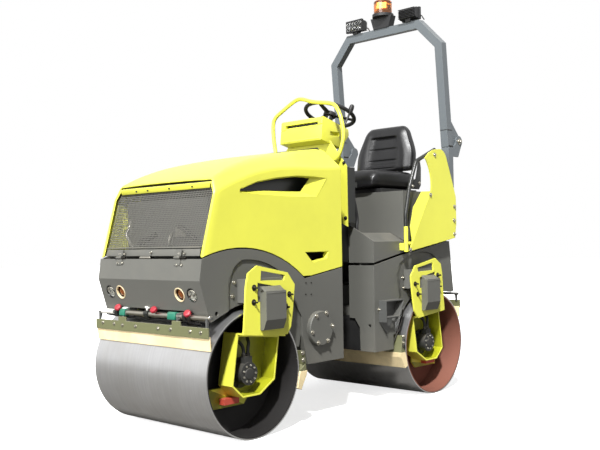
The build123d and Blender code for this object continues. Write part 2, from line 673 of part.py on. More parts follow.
# ---- scrapers -----------------------------------------------------------------------------
SCRAPER_X = 420
SCRAPER_GAP = 1.3        # between the outer blade's edge and the drum
TIP_Z = 131              # height of that edge above the axle
TIP_Y = -AXLE_Y - sqrt((DRUM_RADIUS + SCRAPER_GAP) ** 2 - TIP_Z ** 2)
OUTER_Y = TIP_Y - 11.8   # drum side of the outer carrier
OUTER_Z0, OUTER_Z1 = 475, 521
SCRAPER_ROD = (FRONT_Y + 34, 560, 7.5)     # y, z, radius
HANGER_X = 203
CLAMP = 12               # half the width of a clamp on the rod
ARM = 10                 # thickness of an arm
CARRIER = 6
# inner blade, (y from the bed's rear edge, z from the carrier's underside)
INNER_BLADE = ((20, 0), (-27, 0), (-34, -17), (-49, -78), (-24, -88), (12, -26))


def scraper_hanger():
    """Rod with two clamps under the frame and four arms down to the carrier."""
    y, z, r = SCRAPER_ROD
    lip_y, lip_z = BED_LIP
    rise = (BED_Z - lip_z) / (NOSE_HEEL_IN[0] - lip_y)
    body = bar_x(r, -SCRAPER_X, SCRAPER_X, y, z)
    clamp = [(y - 11, z - CLAMP), (y - 11, z + CLAMP), BED_LIP, (lip_y + 15, lip_z + 15 * rise),
             (lip_y + 15, z - CLAMP)]
    arm = [(OUTER_Y, OUTER_Z1 - 8), (OUTER_Y, z), (y, z + 4), (y, z - 8), (OUTER_Y + 6, OUTER_Z1 - 8)]
    for x in (-HANGER_X, HANGER_X):
        body = body + plate_x(clamp, x - CLAMP, x + CLAMP)
    for x in (-SCRAPER_X + 20, -HANGER_X, HANGER_X, SCRAPER_X - 20):
        body = body + plate_x(arm, x - ARM / 2, x + ARM / 2)
    return body


def scraper_carriers():
    """Strip for the outer blade with its two lugs, and the angle that holds the inner blade."""
    outer = block(-SCRAPER_X, SCRAPER_X, OUTER_Y - CARRIER, OUTER_Y, OUTER_Z0, OUTER_Z1)
    for x in (-HANGER_X, HANGER_X):
        outer = outer + block(x - 30, x + 30, OUTER_Y - CARRIER, OUTER_Y, OUTER_Z1, OUTER_Z1 + 20)
    top, foot = CARRIER_TOP, CARRIER_FOOT
    edge = BED_REAR_Y - CARRIER_REACH
    knee = guard_face(GUARD_FOOT)
    angle = [(guard_face(top) - CARRIER_PLATE, top), (guard_face(top), top), (knee, GUARD_FOOT),
             (knee + 4, foot), (edge, foot), (edge, foot + CARRIER_PLATE), (knee - CARRIER_PLATE, GUARD_FOOT)]
    return outer, plate_x(angle, -SCRAPER_X, SCRAPER_X)


def scraper_blades():
    """Outer blade behind its carrier, inner blade below its own."""
    outer = plate_x([(OUTER_Y, 482), (OUTER_Y + 6, 482), (TIP_Y, DRUM_RADIUS + TIP_Z),
                     (TIP_Y - 5.8, DRUM_RADIUS + TIP_Z - 1)], -SCRAPER_X, SCRAPER_X)
    inner = plate_x([(BED_REAR_Y + y, CARRIER_FOOT + z) for y, z in INNER_BLADE], -SCRAPER_X, SCRAPER_X)
    return outer, inner


for end, at_end in ENDS:
    save(f"scraper_hanger_{end}", at_end(scraper_hanger()))
    save(f"scraper_carriers_{end}", *[at_end(s) for s in scraper_carriers()])
    save(f"scraper_blades_{end}", *[at_end(s) for s in scraper_blades()])


# ---- articulation -------------------------------------------------------------------------
KNUCKLE_R = 50
KNUCKLE_Z = 60           # half its height
SHAFT_R = 35             # oscillation shaft
SHAFT_END = 316
HOUSING_Y0, HOUSING_Y1 = 222, 308
HOUSING_R = 62
ARM_PLATE = 13
BARREL_Y0, BARREL_Y1 = CYL_BASE_Y + 36, -55
ROD_Y0 = -225
EYE_R = 24


def knuckle():
    """Turns on the steering pin; carries the rear frame's shaft and the cylinder's arm."""
    z = PIVOT_Z
    body = bar_z(KNUCKLE_R, z - KNUCKLE_Z, z + KNUCKLE_Z, 0, PIVOT_Y)
    head = LUG_Z + LUG_PLATE / 2 + 6
    body = body + bar_z(PIN_R, z - head - 6, z + head + 6, 0, PIVOT_Y)
    for side in (-1, 1):
        body = body + bar_z(PIN_R + 11, z + side * (head + 3) - 3, z + side * (head + 3) + 3, 0, PIVOT_Y)
    body = body + bar_y(SHAFT_R, PIVOT_Y, SHAFT_END, 0, z)
    body = body + bar_y(SHAFT_R + 20, HOUSING_Y0 - 44, HOUSING_Y0 - 8, 0, z)
    body = body + bar_y(SHAFT_R + 17, SHAFT_END, SHAFT_END + 12, 0, z)
    for z0, z1 in ((z - EYE - 1 - ARM_PLATE, z - EYE - 1), (z + EYE + 1, z + EYE + 1 + ARM_PLATE)):
        body = body + block(0, CYL_X, PIVOT_Y - 28, PIVOT_Y + 28, z0, z1) + bar_z(28, z0, z1, CYL_X, PIVOT_Y)
    return body + block(0, CYL_X - 50, PIVOT_Y - 20, PIVOT_Y + 20, z - EYE - 2, z + EYE + 2)


def steering_barrel():
    """Cylinder barrel with its eye on the front frame's pin."""
    z = CYL_Z
    eye = bar_z(EYE_R, z - EYE, z + EYE, CYL_X, CYL_BASE_Y)
    neck = block(CYL_X - 14, CYL_X + 14, CYL_BASE_Y, BARREL_Y0 + 2, z - EYE, z + EYE)
    barrel = bar_y(CYL_R, BARREL_Y0, BARREL_Y1, CYL_X, z)
    bore = bar_y(ROD_R + RUN, BARREL_Y0 + 8, BARREL_Y1, CYL_X, z)
    return eye + neck + barrel - bore - bar_z(CYL_PIN_R + RUN, z - EYE, z + EYE, CYL_X, CYL_BASE_Y)


def steering_rod():
    """Piston rod with its eye and the eye's pin, between the knuckle's plates."""
    eye = bar_z(EYE_R, CYL_Z - EYE, CYL_Z + EYE, CYL_X, PIVOT_Y)
    return bar_y(ROD_R, ROD_Y0, PIVOT_Y, CYL_X, CYL_Z) + eye


save("steering_knuckle", knuckle())
save("steering_cylinder_barrel", steering_barrel())
save("steering_cylinder_rod", steering_rod())


# ---- rear frame ---------------------------------------------------------------------------
STRIP_X = 206            # inner edge of the front strips
STRIP_FOOT_X = 280       # and of their lower part
TIE_HOLE_X, TIE_HOLE_Z, TIE_HOLE_R = 346, 426, 9
RIB_X = 280
RIB_FOOT_Z = 500
RIB_REAR_Y = 850


def rear_outline():
    """Side profile of the rear frame in the mirrored (y, z) of the front one."""
    rear = [(-y, z) for y, z in (REAR_TOP, REAR_LOW, REAR_FOOT)]
    return polygon([(-REAR_START_Y, 752), (-489, 808), *rear, NOSE_HEEL, (NOSE_HEEL[0], FRAME_BOTTOM),
                    (-REAR_START_Y, FRAME_BOTTOM)])


def rear_side_plate():
    """Left-hand side wall with its front strip, which has a tie-down hole."""
    y = REAR_START_Y
    strip = plate_y([(BODY_X, FRAME_BOTTOM), (BODY_X, 752), (STRIP_X, 752), (STRIP_X, 464), (243, 463),
                     (STRIP_FOOT_X - 4, 414), (STRIP_FOOT_X, FRAME_BOTTOM)], y, y + PLATE)
    strip = strip - bar_y(TIE_HOLE_R, y - 1, y + PLATE + 1, TIE_HOLE_X, TIE_HOLE_Z)
    return flip_y(side_wall(rear_outline(), "rear")) + strip


def rear_cross_members():
    """Two cross plates with the shaft's housing, and the ribs under the deck."""
    y = REAR_START_Y
    in_x = BODY_X - PLATE
    frame = bar_y(HOUSING_R, HOUSING_Y0, HOUSING_Y1, 0, PIVOT_Z)
    bore = bar_y(SHAFT_R + RUN, HOUSING_Y0, HOUSING_Y1, 0, PIVOT_Z)
    for y0 in (HOUSING_Y0 + 8, HOUSING_Y1 - 16):
        frame = frame + block(-in_x, in_x, y0, y0 + PLATE, PIVOT_Z - 90, PIVOT_Z + 100)
    bed_top = BED_Z + BED_PLATE
    rib = [(y + PLATE, RIB_FOOT_Z), (y + PLATE, FLOOR_Z - SKIN), (RIB_REAR_Y, FLOOR_Z - SKIN),
           (RIB_REAR_Y, bed_top), (-BED_REAR_Y, bed_top), (-BED_REAR_Y, RIB_FOOT_Z)]
    for side in (-1, 1):
        frame = frame + plate_x(rib, side * RIB_X - PLATE / 2, side * RIB_X + PLATE / 2)
    return frame - bore


def rear_end_plate():
    """Sloping plate that closes the rear end."""
    in_x = BODY_X - PLATE
    (ty, tz), (ly, lz) = REAR_TOP, REAR_LOW
    low_y = ty + (ly - ty) * (tz - APRON_SLOT_Z) / (tz - lz)
    profile = [(ty - PLATE, tz), (ty, tz), (low_y, APRON_SLOT_Z), (low_y - PLATE, APRON_SLOT_Z)]
    return plate_x(profile, -in_x, in_x)


rear_walls = (rear_side_plate(), flip_x(rear_side_plate()))
save("rear_side_plates", *rear_walls)
save("rear_bed", flip_y(drum_bed() + drum_guard()) - rear_walls[0] - rear_walls[1])
save("rear_cross_members", rear_cross_members())
save("rear_end_plate", rear_end_plate())


# ---- deck, seat box, wings and handrails --------------------------------------------------
SKIRT = 6
SKIRT_LOW = ((REAR_START_Y, 766), (489, 820), (926, DECK_SIDE_TOP))


def deck():
    """Floor with sloping sides, side skirts and the two front risers."""
    y0 = REAR_START_Y
    y1 = SEATBOX_REAR_Y - 5
    riser = plate_y([(RISER_IN_X, 766), (BODY_X, 766), (BODY_X, DECK_SIDE_TOP + 3), (RISER_IN_X, RISER_IN_TOP)],
                    y0, y0 + SKIN)
    skirt = plate_x([*SKIRT_LOW, (y0, DECK_SIDE_TOP)], BODY_X - SKIRT, BODY_X)
    side = plate_y([(BODY_X, DECK_SIDE_TOP), (FLOOR_X, FLOOR_Z), (FLOOR_X, FLOOR_Z - SKIN),
                    (BODY_X, DECK_SIDE_TOP - SKIN)], y0, SKIRT_LOW[-1][0])
    floor = block(-FLOOR_X, FLOOR_X, y0 + SKIN, y1, FLOOR_Z - SKIN, FLOOR_Z)
    half = riser + skirt + side
    return half + flip_x(half) + floor


def seat_box():
    """Open-bottomed box whose front edge follows the deck."""
    low = DECK_SIDE_TOP + 4
    front = plate_y([(BODY_X, low), (BODY_X, SEATBOX_TOP), (-BODY_X, SEATBOX_TOP), (-BODY_X, low),
                     (-FLOOR_X, FLOOR_Z), (FLOOR_X, FLOOR_Z)], SEATBOX_Y, SEATBOX_REAR_Y)
    in_x = BODY_X - SKIN
    return front - block(-in_x, in_x, SEATBOX_Y + SKIN, SEATBOX_REAR_Y - SKIN, 800, SEATBOX_TOP - SKIN)


WING_X = 430             # inner face of the wing plate
WING = 6
FOLD_FOOT = (461, 823)   # foot of the wing's folded front edge, (y, z)
FOLD_TOP = (686, 1168)
# folded edge: distance along the fold, width of the flange there
FLANGE = ((0, 0), (71, 8), (136, 47), (256, 70), (374, 55), (410, 0))
FLANGE_TURN = 24         # degrees from the wing plate
WING_SPACERS = ((677, 1140), (520, 866))   # (y, z)


def wing_left():
    """Side plate beside the seat with a folded front edge and two spacers to the box."""
    edge = [Polyline(FOLD_TOP, FOLD_FOOT, (934, 896), (951, 980), (951, 1139)),
            ThreePointArc((951, 1139), (906, 1252), (857, 1365)),
            ThreePointArc((857, 1365), (820, 1409), (765, 1415)),
            ThreePointArc((765, 1415), (690, 1397), (634, 1355)),
            ThreePointArc((634, 1355), (689, 1228), FOLD_TOP)]
    plate = plate_x(make_face(edge), WING_X, WING_X + WING)
    run = hypot(FOLD_TOP[0] - FOLD_FOOT[0], FOLD_TOP[1] - FOLD_FOOT[1])
    d_y, d_z = (FOLD_TOP[0] - FOLD_FOOT[0]) / run, (FOLD_TOP[1] - FOLD_FOOT[1]) / run
    turn = radians(FLANGE_TURN)
    normal = (cos(turn), -d_z * sin(turn), d_y * sin(turn))
    fold = Plane(origin=(WING_X + WING, *FOLD_FOOT), x_dir=(0, d_y, d_z), z_dir=normal)
    sign = 1 if fold.y_dir.Y < 0 else -1
    flange = extrude(fold * polygon([(u, sign * v) for u, v in FLANGE]), amount=-SKIN)
    for y, z in WING_SPACERS:
        plate = plate + bar_x(12, BODY_X, WING_X, y, z)
    return plate + flange


RAIL_X = 418
RAIL_R = 11
RAIL = ((456, 962), (456, 1030), (499, 1190), (566, 1334), (757, 1414))   # (y, z)
RAIL_FOOT_Z = 821


def rail_left():
    """Bent handrail, its top end against the wing."""
    return tube([(RAIL_X, y, z) for y, z in RAIL], 45, RAIL_R)


def rail_post_left():
    """Short post under the handrail with its bracket on the deck's skirt."""
    y, z = RAIL[0]
    post = bar_z(RAIL_R + 1, RAIL_FOOT_Z, z, RAIL_X, y)
    return post + block(BODY_X, RAIL_X, y - 10, y + 10, RAIL_FOOT_Z + 9, DECK_SIDE_TOP - 10)


save("deck", deck())
save("seat_box", seat_box())
for name, make in (("seat_wings", wing_left), ("handrails", rail_left), ("handrail_posts", rail_post_left)):
    piece = make()
    save(name, piece, flip_x(piece))


# ---- seat ---------------------------------------------------------------------------------
SEAT_X = 215
SEAT_Y0, SEAT_Y1 = 440, 860
CUSHION_Z0, CUSHION_Z1 = 1190, 1310
BACK_LEAN = 8
BACK_Z0, BACK_Z1 = 1314, 1590
BACK_Y = 840             # middle of the backrest at its foot
BACK_THICK = 96
BACK_TOP_X = 148

save("seat_base", block(-SEAT_X, SEAT_X, SEATBOX_Y + 15, SEAT_Y1, SEATBOX_TOP, CUSHION_Z0))
cushion = block(-SEAT_X, SEAT_X, SEAT_Y0, SEAT_Y1, CUSHION_Z0, CUSHION_Z1)
save("seat_cushion", fillet(cushion.edges().group_by(Axis.Z)[-1] + cushion.edges().filter_by(Axis.Z), 24))


def backrest():
    """Tapered pad leaning back, on two short brackets behind the cushion."""
    rise = BACK_Z1 - BACK_Z0
    face = polygon([(-SEAT_X, 0), (SEAT_X, 0), (SEAT_X, rise * 0.35), (BACK_TOP_X, rise), (-BACK_TOP_X, rise),
                    (-SEAT_X, rise * 0.35)])
    pad = extrude(face, amount=BACK_THICK / 2, both=True)
    pad = fillet(pad.edges().filter_by(Axis.Z), 24)
    return Pos(0, BACK_Y, BACK_Z0) * Rot(90 - BACK_LEAN, 0, 0) * pad


save("seat_backrest", backrest())
bracket = plate_x([(SEAT_Y1, CUSHION_Z0), (SEAT_Y1, CUSHION_Z1 + 60), (SEAT_Y1 + 44, CUSHION_Z1 + 60),
                   (SEAT_Y1 + 36, SEATBOX_TOP), (SEAT_Y1, SEATBOX_TOP)], 80, 88) - backrest()
save("seat_brackets", bracket, flip_x(bracket))


# ---- dash, console and steering wheel -----------------------------------------------------
PANEL = 6
TOWER_X = 262
TOWER_FOOT_X = 205
TOWER_REAR = 300
TOWER_LOW = FLOOR_Z + 58
TOWER_DEPTH = 74         # of its upper part
HOSE_X = 240
HOSE_R = 9
HOSE = ((215.5, 1180), (215.5, 1128), (236, 1062), (249, 1005), (239, 958), (239, FLOOR_Z))   # (y, z)
GLAND = 14               # half the width of the hose's gland
NECK_X = 120
FACE_Y0, FACE_Y1 = 215, 305         # console's top slopes down between these, square to the column
FACE_Z = 1566
GUARD_R = 11
GUARD = ((206, 100, 1322), (252, 118, 1392), (262, 114, 1448), (240, 112, 1572), (118, 160, 1659))


def dash_panel():
    """Front plate of the steering tower."""
    half = [(271, 963), (DASH_HALF, DASH_TOP), (155, 1440)]
    points = [(220, TOWER_LOW), *half]
    return plate_y(points + [(-x, z) for x, z in reversed(points)], DASH_Y, DASH_Y + PANEL)


def dash_tower():
    """Black box behind the panel, standing on the deck's floor."""
    y = DASH_Y + PANEL
    rear = y + TOWER_DEPTH
    upper = block(-TOWER_X, TOWER_X, y, rear, TOWER_LOW, DASH_TOP - 5)
    lower = block(-TOWER_FOOT_X, TOWER_FOOT_X, y + 9, TOWER_REAR, FLOOR_Z, TOWER_LOW)
    apron_plate = block(-TOWER_FOOT_X, TOWER_FOOT_X, y + 19, REAR_START_Y, 770, FLOOR_Z)
    gland = block(HOSE_X - GLAND, HOSE_X + GLAND, rear, rear + 2 * GLAND, HOSE[0][1], HOSE[0][1] + 2 * GLAND)
    return upper + lower + apron_plate + gland


def dash_hose():
    """Hose from the gland behind the tower down to the floor, in wide bends."""
    points = [Vector(HOSE_X, y, z) for y, z in HOSE]
    runs = [b - a for a, b in zip(points, points[1:])]
    bends = [0.45 * min(a.length, b.length) / tan(radians(a.get_angle(b) / 2)) for a, b in zip(runs, runs[1:])]
    print("dash_hose radii:", [round(r) for r in bends])
    path = FilletPolyline(*points, radius=bends)
    return sweep(path.location_at(0) * Circle(HOSE_R), path=path)


def console():
    """Instrument head on its neck above the tower."""
    rear_z = FACE_Z - (FACE_Y1 - FACE_Y0) * tan(radians(WHEEL_TILT))
    head = plate_x([(CONSOLE_FRONT_Y, CONSOLE_LOW), (CONSOLE_FRONT_Y, CONSOLE_TOP), (FACE_Y0, FACE_Z),
                    (FACE_Y1, rear_z), (FACE_Y1, CONSOLE_LOW)], -CONSOLE_HALF, CONSOLE_HALF)
    slot = block(-CONSOLE_HALF + 22, CONSOLE_HALF - 22, CONSOLE_FRONT_Y, CONSOLE_FRONT_Y + 12, CONSOLE_TOP - 24,
                 CONSOLE_TOP - 12)
    neck = block(-NECK_X, NECK_X, DASH_Y + PANEL, 240, DASH_TOP - 5, CONSOLE_LOW)
    return head - slot + neck


def guard_loop():
    """Tube round the console's front, its feet on the dash panel."""
    points = list(GUARD) + [(-x, y, z) for x, y, z in reversed(GUARD)]
    loop = tube(points, 30, GUARD_R)
    for side in (-1, 1):
        x, y, z = GUARD[0]
        loop = loop + bar_y(GUARD_R, y, DASH_Y, side * x, z)
    return loop


def on_column(back):
    """Place on the steering column's axis, a distance below the wheel's centre, its Z axis along it."""
    t = radians(WHEEL_TILT)
    x, y, z = WHEEL_CENTRE
    return Pos(x, y - back * sin(t), z - back * cos(t)) * Rot(-WHEEL_TILT, 0, 0)


COLUMN_R = 24
WHEEL_HUB_R = 38
WHEEL_HUB = 26           # thickness
SPOKE = 10


def face_drop():
    """Distance from the wheel's centre down to the console's sloping face."""
    t = radians(WHEEL_TILT)
    return (WHEEL_CENTRE[1] - FACE_Y0) * sin(t) + (WHEEL_CENTRE[2] - FACE_Z) * cos(t)


def steering_column():
    """Column between the console and the wheel's hub."""
    low, high = face_drop(), WHEEL_HUB / 2 + RUN
    return on_column((low + high) / 2) * Cylinder(COLUMN_R, low - high)


def steering_wheel():
    """Rim, three spokes and a hub."""
    rim_r = WHEEL_R - WHEEL_RIM
    wheel = Torus(rim_r, WHEEL_RIM) + Cylinder(WHEEL_HUB_R, WHEEL_HUB)
    for angle in (0, 120, 240):
        spoke = Pos(rim_r / 2, 0, 0) * Box(rim_r, 34, SPOKE)
        wheel = wheel + Rot(0, 0, angle + 90) * spoke
    return on_column(0) * wheel


save("dash_panel", dash_panel())
save("dash_tower", dash_tower())
save("dash_hose", dash_hose())
save("console", console())
save("guard_loop", guard_loop())
save("steering_column", steering_column())
save("steering_wheel", steering_wheel())


# ---- roll bar -----------------------------------------------------------------------------
POST_Y0, POST_Y1 = 891, 941
POST_Z0 = 905
STOP_GAP = 1             # between the folding arch and its post
HINGE_EYE_X = 390        # the arch's hinge plate, from here to its mirror about the tube
HINGE_PLATE_GAP = 1
ROPS_PIN_R = 10
EAR_LOW, EAR_TOP = 1446, 1622      # the hinge plate's ends on the arch's leg


def rops_post_left():
    """Upright on the seat box with two hinge plates behind it."""
    x0, x1 = ROPS_X - ROPS_TUBE / 2, ROPS_X + ROPS_TUBE / 2
    post = block(x0, x1, POST_Y0, POST_Y1, POST_Z0, ROPS_SPLIT)
    hinge_y, hinge_z = ROPS_HINGE_Y, ROPS_HINGE_Z
    ear = [(POST_Y1, 1385), (998, 1385), (hinge_y + ROPS_REACH, hinge_z - 4), (hinge_y, hinge_z),
           (hinge_y - 30, hinge_z - 4), (POST_Y1, ROPS_SPLIT - 6)]
    inner = HINGE_EYE_X - HINGE_PLATE_GAP
    outer = 2 * ROPS_X - inner
    for a, b in ((x0, inner), (outer, x1)):
        post = post + plate_x(ear, a, b) + bar_x(ROPS_REACH, a, b, ROPS_HINGE_Y, ROPS_HINGE_Z)
    return post + bar_x(ROPS_PIN_R, x0, x1, ROPS_HINGE_Y, ROPS_HINGE_Z)


def rops_leg_y(z):
    """y of the arch's centre line at a height."""
    return ROPS_Y_TOP + (ROPS_SHOULDER[1] - z) * sin(radians(ROPS_LEAN)) / cos(radians(ROPS_LEAN))


def rops_arch():
    """Square-tube arch with sloping shoulders and its hinge plates."""
    lean = radians(ROPS_LEAN)
    top = ROPS_SHOULDER[1]
    line = [(x, (z - top) / cos(lean)) for x, z in ((ROPS_X, 1300), ROPS_KNEE, ROPS_SHOULDER)]
    face = polygon(line + [(-x, s) for x, s in reversed(line)])
    wide = offset(face, amount=ROPS_TUBE / 2, kind=Kind.INTERSECTION)
    narrow = offset(face, amount=-ROPS_TUBE / 2, kind=Kind.INTERSECTION)
    plane = Plane(origin=(0, ROPS_Y_TOP, top), x_dir=(1, 0, 0), z_dir=(0, -cos(lean), -sin(lean)))
    arch = extrude(plane * (wide - narrow), amount=ROPS_TUBE / 2, both=True)
    arch = arch & block(-600, 600, 0, 2000, ROPS_SPLIT + STOP_GAP, 2400)
    half = ROPS_TUBE / 2
    ear = [(rops_leg_y(EAR_TOP) + half - 6, EAR_TOP), (ROPS_HINGE_Y + 24, ROPS_HINGE_Z + 24),
           (ROPS_HINGE_Y, ROPS_HINGE_Z - ROPS_REACH), (rops_leg_y(EAR_LOW) + half - 6, EAR_LOW)]
    for side in (-1, 1):
        a, b = sorted((side * HINGE_EYE_X, side * (2 * ROPS_X - HINGE_EYE_X)))
        arch = arch + plate_x(ear, a, b) + bar_x(ROPS_REACH, a, b, ROPS_HINGE_Y, ROPS_HINGE_Z)
        arch = arch - bar_x(ROPS_PIN_R + RUN, a, b, ROPS_HINGE_Y, ROPS_HINGE_Z)
    return arch


WORK_LAMP = (130, 60, 75)          # width, depth, height
WORK_LAMP_AT = (206, 833, 2270)
BEACON_R = 57
BEACON_Z0, BEACON_Z1 = 2308, 2395
BEACON_Y = 841


def bar_top(y):
    """Height of the arch's top face above a y."""
    lean = radians(ROPS_LEAN)
    return ROPS_SHOULDER[1] + ROPS_TUBE / 2 / cos(lean) + (y - ROPS_Y_TOP) * sin(lean) / cos(lean)


def work_lamp(facing):
    """Box lamp with a rounded back on its foot; facing is -1 for forwards, 1 for rearwards."""
    w, d, h = WORK_LAMP
    x, y, z = WORK_LAMP_AT
    front = Pos(0, -d / 2 + 9, 0) * Box(w, 18, h)
    back = Pos(0, 4, 0) * Box(w - 8, d - 12, h - 10)
    back = fillet(back.edges().filter_by(Axis.X).sort_by(Axis.Y)[-2:], 18)
    lamp_body = Pos(0, 0, z) * ((front + back) if facing < 0 else Rot(0, 0, 180) * (front + back))
    foot = plate_x([(-20, bar_top(y - 20)), (20, bar_top(y + 20)), (20, z), (-20, z)], -18, 18)
    return Pos(facing * x, y, 0) * (lamp_body + foot)


def beacon_base():
    """Tapering bracket on the top bar with a round flange."""
    y0, y1 = BEACON_Y - 25, BEACON_Y + 25
    bracket = plate_y([(-50, 2190), (50, 2190), (80, BEACON_Z0 - 18), (-80, BEACON_Z0 - 18)], y0, y1)
    near, far = y0 - 10, y1 + 10
    seat = plate_x([(near, 2100), (far, 2100), (far, bar_top(far)), (near, bar_top(near))], -100, 100)
    return bracket - seat + bar_z(BEACON_R + 10, BEACON_Z0 - 18, BEACON_Z0, 0, BEACON_Y)


def beacon_lens():
    """Round lens with a rounded top."""
    lens = bar_z(BEACON_R, BEACON_Z0, BEACON_Z1, 0, BEACON_Y)
    return fillet(lens.edges().group_by(Axis.Z)[-1], 14)


post = rops_post_left()
save("rops_posts", post, flip_x(post))
save("rops_arch", rops_arch())
save("work_lamps", work_lamp(-1), work_lamp(1))
save("beacon_base", beacon_base())
save("beacon_lens", beacon_lens())


# ---- steps --------------------------------------------------------------------------------
STEP_X = 430
STEP_TOP = 562
STEP_LOW = 445
STEP_Y0 = 245
STEP_Y1 = 413            # at its top
STEP_FOOT_Y = 360        # and at its foot
TREAD_R = 7


def step_left():
    """Open-sided foothold with a round tread bar."""
    x0 = BODY_X
    t = 6
    back = plate_x([(STEP_Y0, STEP_LOW), (STEP_Y0, STEP_TOP), (STEP_Y1, STEP_TOP), (STEP_FOOT_Y, STEP_LOW),
                    (307, 377)], x0, x0 + t)
    front = block(x0, STEP_X, STEP_Y0, STEP_Y0 + t, STEP_LOW, STEP_TOP)
    roof = block(x0, STEP_X, STEP_Y0, STEP_Y1, STEP_TOP - t, STEP_TOP)
    slant = [(STEP_Y1 - t, STEP_TOP), (STEP_Y1, STEP_TOP), (STEP_FOOT_Y, STEP_LOW), (STEP_FOOT_Y - t, STEP_LOW)]
    rear = plate_x(slant, x0, STEP_X)
    tread = bar_y(TREAD_R, STEP_Y0 + t, STEP_FOOT_Y + 8, STEP_X - 10, STEP_LOW + 25)
    return back + front + roof + rear + tread


piece = step_left()
save("steps", piece, flip_x(piece))
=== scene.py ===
import bpy
import bmesh
import json
import math
import random
from mathutils import Matrix, Vector


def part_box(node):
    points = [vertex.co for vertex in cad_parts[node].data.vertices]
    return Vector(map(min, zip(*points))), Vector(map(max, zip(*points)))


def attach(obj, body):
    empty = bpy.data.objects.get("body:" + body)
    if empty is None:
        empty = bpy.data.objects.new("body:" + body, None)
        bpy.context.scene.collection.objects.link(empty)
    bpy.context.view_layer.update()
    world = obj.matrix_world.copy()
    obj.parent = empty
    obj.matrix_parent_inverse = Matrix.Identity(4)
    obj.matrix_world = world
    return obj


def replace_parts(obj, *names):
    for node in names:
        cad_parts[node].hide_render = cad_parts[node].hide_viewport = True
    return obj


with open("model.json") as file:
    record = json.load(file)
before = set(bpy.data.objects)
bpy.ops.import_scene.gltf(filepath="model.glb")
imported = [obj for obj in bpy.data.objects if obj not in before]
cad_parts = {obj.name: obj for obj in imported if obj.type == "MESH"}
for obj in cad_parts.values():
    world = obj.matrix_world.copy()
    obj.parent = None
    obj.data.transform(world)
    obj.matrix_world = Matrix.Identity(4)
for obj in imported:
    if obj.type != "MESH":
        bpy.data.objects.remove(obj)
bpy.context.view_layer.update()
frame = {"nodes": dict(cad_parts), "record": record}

# A ride-on tandem roller. The solids come from the frame; this script gives them their paint,
# steel and rubber and adds bolts, lamps, grille, seat covers and the small parts round them.
# Metres. +Z up, -Y ahead, +X the machine's left-hand side.

MM = 0.001


def middle(node):
    """Centre of a solid's box."""
    low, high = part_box(node)
    return (low + high) / 2


# Lengths below are given in millimetres from the point on the ground midway between the drums.
MIDWAY = (middle("drum_front") + middle("drum_rear")) / 2
SHIFT = Vector((0, MIDWAY.y, 0))
AXLE_Y, AXLE_Z = 725, 290

# Bodies, the two sides and the two ends with their signs along X and Y.
FRONT, REAR, HOOD, BAR = "front_frame_body", "rear_frame_body", "hood_body", "roll_bar_body"
SIDES = ((1, "left"), (-1, "right"))
ENDS = ((-1, "front", FRONT), (1, "rear", REAR))


def at(x, y, z):
    """A place on the machine."""
    return Vector((x, y, z)) * MM + SHIFT


# ---- mesh work ----------------------------------------------------------------------------
def deselect():
    for ob in bpy.context.selected_objects:
        ob.select_set(False)


def pick(ob):
    """Make one object the only selected and active one."""
    deselect()
    ob.select_set(True)
    bpy.context.view_layer.objects.active = ob


def settle(ob):
    """Move an object's place into its mesh."""
    pick(ob)
    bpy.ops.object.transform_apply(location=True, rotation=True, scale=True)


def finish_modifiers(ob):
    pick(ob)
    for modifier in list(ob.modifiers):
        bpy.ops.object.modifier_apply(modifier=modifier.name)


def smooth(ob, angle=32):
    pick(ob)
    bpy.ops.object.shade_smooth_by_angle(angle=math.radians(angle))
    return ob


def rounded(ob, width, segments=2, angle=30):
    """Bevel the sharp edges and smooth the rest."""
    modifier = ob.modifiers.new("edges", "BEVEL")
    modifier.width = width * MM
    modifier.segments = segments
    modifier.limit_method = "ANGLE"
    modifier.angle_limit = math.radians(angle)
    finish_modifiers(ob)
    return smooth(ob)


def round_bar(name, radius, length, sides=32):
    """Bar along Z from z = 0, in millimetres, with its place at the origin."""
    deselect()
    bpy.ops.mesh.primitive_cylinder_add(vertices=sides, radius=radius * MM, depth=length * MM,
                                        location=(0, 0, length * MM / 2))
    ob = bpy.context.object
    ob.name = name
    settle(ob)
    return ob


def box(name, low, high):
    """Rectangular block between two corners given on the machine in millimetres."""
    deselect()
    low, high = at(*low), at(*high)
    bpy.ops.mesh.primitive_cube_add(size=1, location=(low + high) / 2)
    ob = bpy.context.object
    ob.name = name
    ob.scale = [abs(v) for v in high - low]
    settle(ob)
    return ob


def edit_faces(ob, test=lambda centre, normal: True):
    """Enter edit mode with only the faces selected that the test picks by centre and normal."""
    pick(ob)
    bpy.ops.object.mode_set(mode="EDIT")
    bpy.ops.mesh.select_mode(type="FACE")
    bpy.ops.mesh.select_all(action="DESELECT")
    mesh = bmesh.from_edit_mesh(ob.data)
    for face in mesh.faces:
        face.select_set(bool(test(face.calc_center_median(), face.normal)))
    bmesh.update_edit_mesh(ob.data)


def leave_edit():
    bpy.ops.object.mode_set(mode="OBJECT")


def recalculate(ob):
    """Turn every face outward."""
    pick(ob)
    bpy.ops.object.mode_set(mode="EDIT")
    bpy.ops.mesh.select_all(action="SELECT")
    bpy.ops.mesh.normals_make_consistent(inside=False)
    leave_edit()
    return ob


def join(name, parts):
    """One piece from several meshes."""
    deselect()
    for ob in parts:
        ob.select_set(True)
    bpy.context.view_layer.objects.active = parts[0]
    bpy.ops.object.join()
    ob = bpy.context.object
    ob.name = name
    ob.data.name = name
    return ob


def copy_of(ob, place=None):
    """A copy with its own mesh, put in its place."""
    twin = ob.copy()
    twin.data = ob.data.copy()
    bpy.context.scene.collection.objects.link(twin)
    if place is not None:
        twin.data.transform(place)
    return twin


